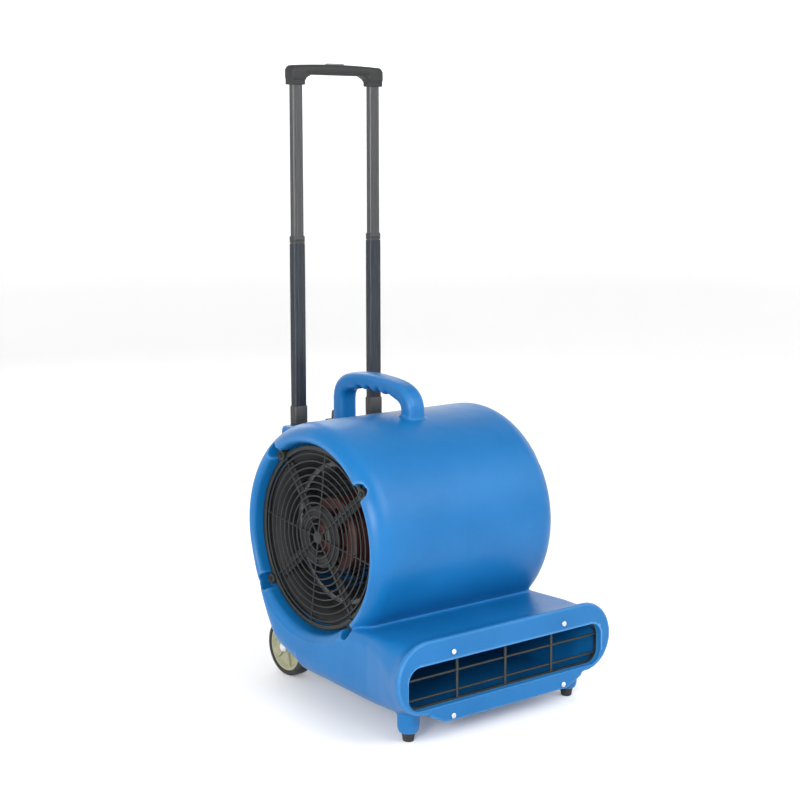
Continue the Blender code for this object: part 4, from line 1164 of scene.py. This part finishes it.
def make_grip():
    """A soft arched bar with a deep socket at each end."""
    low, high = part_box("grip")
    reach = high.x
    top = high.z
    bar = top - 0.0172
    sections = []
    for i in range(41):
        x = -reach + 2 * reach * i / 40
        away = abs(x) / reach
        arch = 0.0030 * away ** 2
        swell = 0.0012 * cos(pi * x / reach)
        end = max(0.0, (away - 0.955) / 0.045)
        half = 0.0122 + swell - 0.0042 * end ** 2
        under = bar - 0.0005 + 0.003 * end ** 2
        sections.append((x, grip_section(half, under, top - arch - 0.0025 * end ** 2)))
    grip = loft(sections, "X")
    for side in (-1, 1):
        outer = side * (reach - 0.001)
        inner = side * 0.0655
        a, b = sorted((outer, inner))
        join(grip, block((a, TUBE_Y - 0.0120, low.z + 0.0075), (b, TUBE_Y + 0.0120, top - 0.0065), 0.004))
        a, b = sorted((side * (TUBE_X + 0.0155), side * (TUBE_X - 0.0140)))
        join(grip, block((a, TUBE_Y - 0.0095, low.z), (b, TUBE_Y + 0.0095, low.z + 0.012), 0.003, "Z", 0.001))
        gusset = [(side * 0.050, bar + 0.002), (side * 0.068, bar + 0.002), (side * 0.068, low.z + 0.010)]
        join(grip, slab(gusset, TUBE_Y - 0.0100, TUBE_Y + 0.0100, "Y"))
    remeshed(grip, 0.0011, 4)
    for side_name in SIDES:
        tube = f"inner_tube_{side_name}"
        cut(grip, opening_for(tube, low.z - 0.01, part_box(tube)[1].z + GAP, 0.0030))
    cut(grip, opening_for("release_button", top - 0.0135, top + 0.02, 0.0033))
    stand_in(grip, "grip", "inner_stage", "black_plastic", GRIP, 50)
    button_low, button_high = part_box("release_button")
    button = block(button_low, button_high, 0.003, "Z", 0.0016)
    for i in range(5):
        x = 0.0055 * (i - 2)
        cut(button, block((x - 0.0008, button_low.y - 0.01, button_high.z - 0.0006),
                          (x + 0.0008, button_high.y + 0.01, button_high.z + 0.01), 0.0004, "Y", 0))
    stand_in(button, "release_button", "button", "button_plastic", BUTTON)


# -------- carried-over nodes
def finish_frame_nodes():
    """Hidden pieces keep their frame shape and take the fine materials."""
    looks = {"motor_stator": COPPER, "motor_rotor": SHEET_WITH_PAINTED_SHADE, "motor_bearing_outer": SHEET_WITH_PAINTED_SHADE,
             "motor_bearing_inner": SHEET_WITH_PAINTED_SHADE, "run_capacitor": CREAM, "speed_switch": BLACK}
    for node, look in looks.items():
        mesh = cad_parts[node].data
        mesh.materials.clear()
        mesh.materials.append(look)


# -------- studio
def make_studio():
    """A pale dish for a floor, which rises into its own backdrop, under soft lights; the dish glows more
    strongly higher up, painted light that evens out the shade on its walls.
    """
    look, tree, shader = start_look("studio_floor", 0.85, specular=0.1)
    tone = noise(tree, 1.5, Detail=2.0)
    colour = blend(tree, tone, (0.88, 0.88, 0.88), (0.91, 0.91, 0.91))
    tree.links.new(colour, shader.inputs["Base Color"])
    # the dish glows, weakly on the floor and more strongly up its walls: painted light that fills the shade
    # on the backdrop
    shader.inputs["Emission Color"].default_value = (1.0, 1.0, 1.0, 1.0)
    place = tree.nodes.new("ShaderNodeNewGeometry")
    height = tree.nodes.new("ShaderNodeSeparateXYZ")
    tree.links.new(place.outputs["Position"], height.inputs["Vector"])
    tree.links.new(remap(tree, height.outputs["Z"], 0.2, 1.6, 0.08, 0.55), shader.inputs["Emission Strength"])
    profile = [(0, 0.0), (0, 2.5), (0, 4.5)] + [(3.0 - 3.0 * cos(t), 4.5 + 3.0 * sin(t))
                                                for t in degrees(*range(10, 91, 10))]
    profile.append((6.0, 7.5))
    floor = lathe(profile, 96)
    floor.name = "studio_floor"
    floor.data.materials.append(look)
    floor.data.shade_smooth()

    world = bpy.data.worlds.new("studio")
    world.use_nodes = True
    background = world.node_tree.nodes["Background"]
    background.inputs["Color"].default_value = (1.0, 1.0, 1.0, 1.0)
    background.inputs["Strength"].default_value = 0.40
    bpy.context.scene.world = world

    for name, place, size, power in (
        ("key", (0.9, -2.9, 2.7), 2.4, 84),
        ("fill", (-3.2, -0.8, 1.5), 2.2, 20),
        ("rim", (-2.7, -1.9, 1.2), 0.7, 56),
        ("top", (0.0, 0.3, 3.4), 2.6, 14),
        ("back", (1.2, 3.0, 2.4), 2.0, 28),
    ):
        data = bpy.data.lights.new(name, "AREA")
        data.shape = "SQUARE"
        data.size = size
        data.energy = power
        light = bpy.data.objects.new(name, data)
        light.location = place
        light.rotation_euler = (Vector((0, 0, 0.35)) - Vector(place)).to_track_quat("-Z", "Y").to_euler()
        bpy.context.scene.collection.objects.link(light)
    bpy.context.scene.view_settings.view_transform = "Standard"


make_camera()
make_housing()
for side_name, side in SIDES.items():
    make_guard(side_name, side)
    make_inlet_ring(side_name, side)
make_outlet_guard()
make_screws()
make_feet()
make_motor()
make_spider()
make_impeller()
make_controls()
make_gland()
make_wheels()
for side_name in SIDES:
    make_tube(f"outer_tube_{side_name}", "housing", TUBE_DARK)
    make_tube(f"middle_tube_{side_name}", "middle_stage", TUBE_DARK)
    make_tube(f"inner_tube_{side_name}", "inner_stage", TUBE)
    make_bush(f"outer_bush_{side_name}", "housing", f"middle_tube_{side_name}")
    make_bush(f"middle_bush_{side_name}", "middle_stage", f"inner_tube_{side_name}")
make_straps()
make_grip()
finish_frame_nodes()
make_studio()
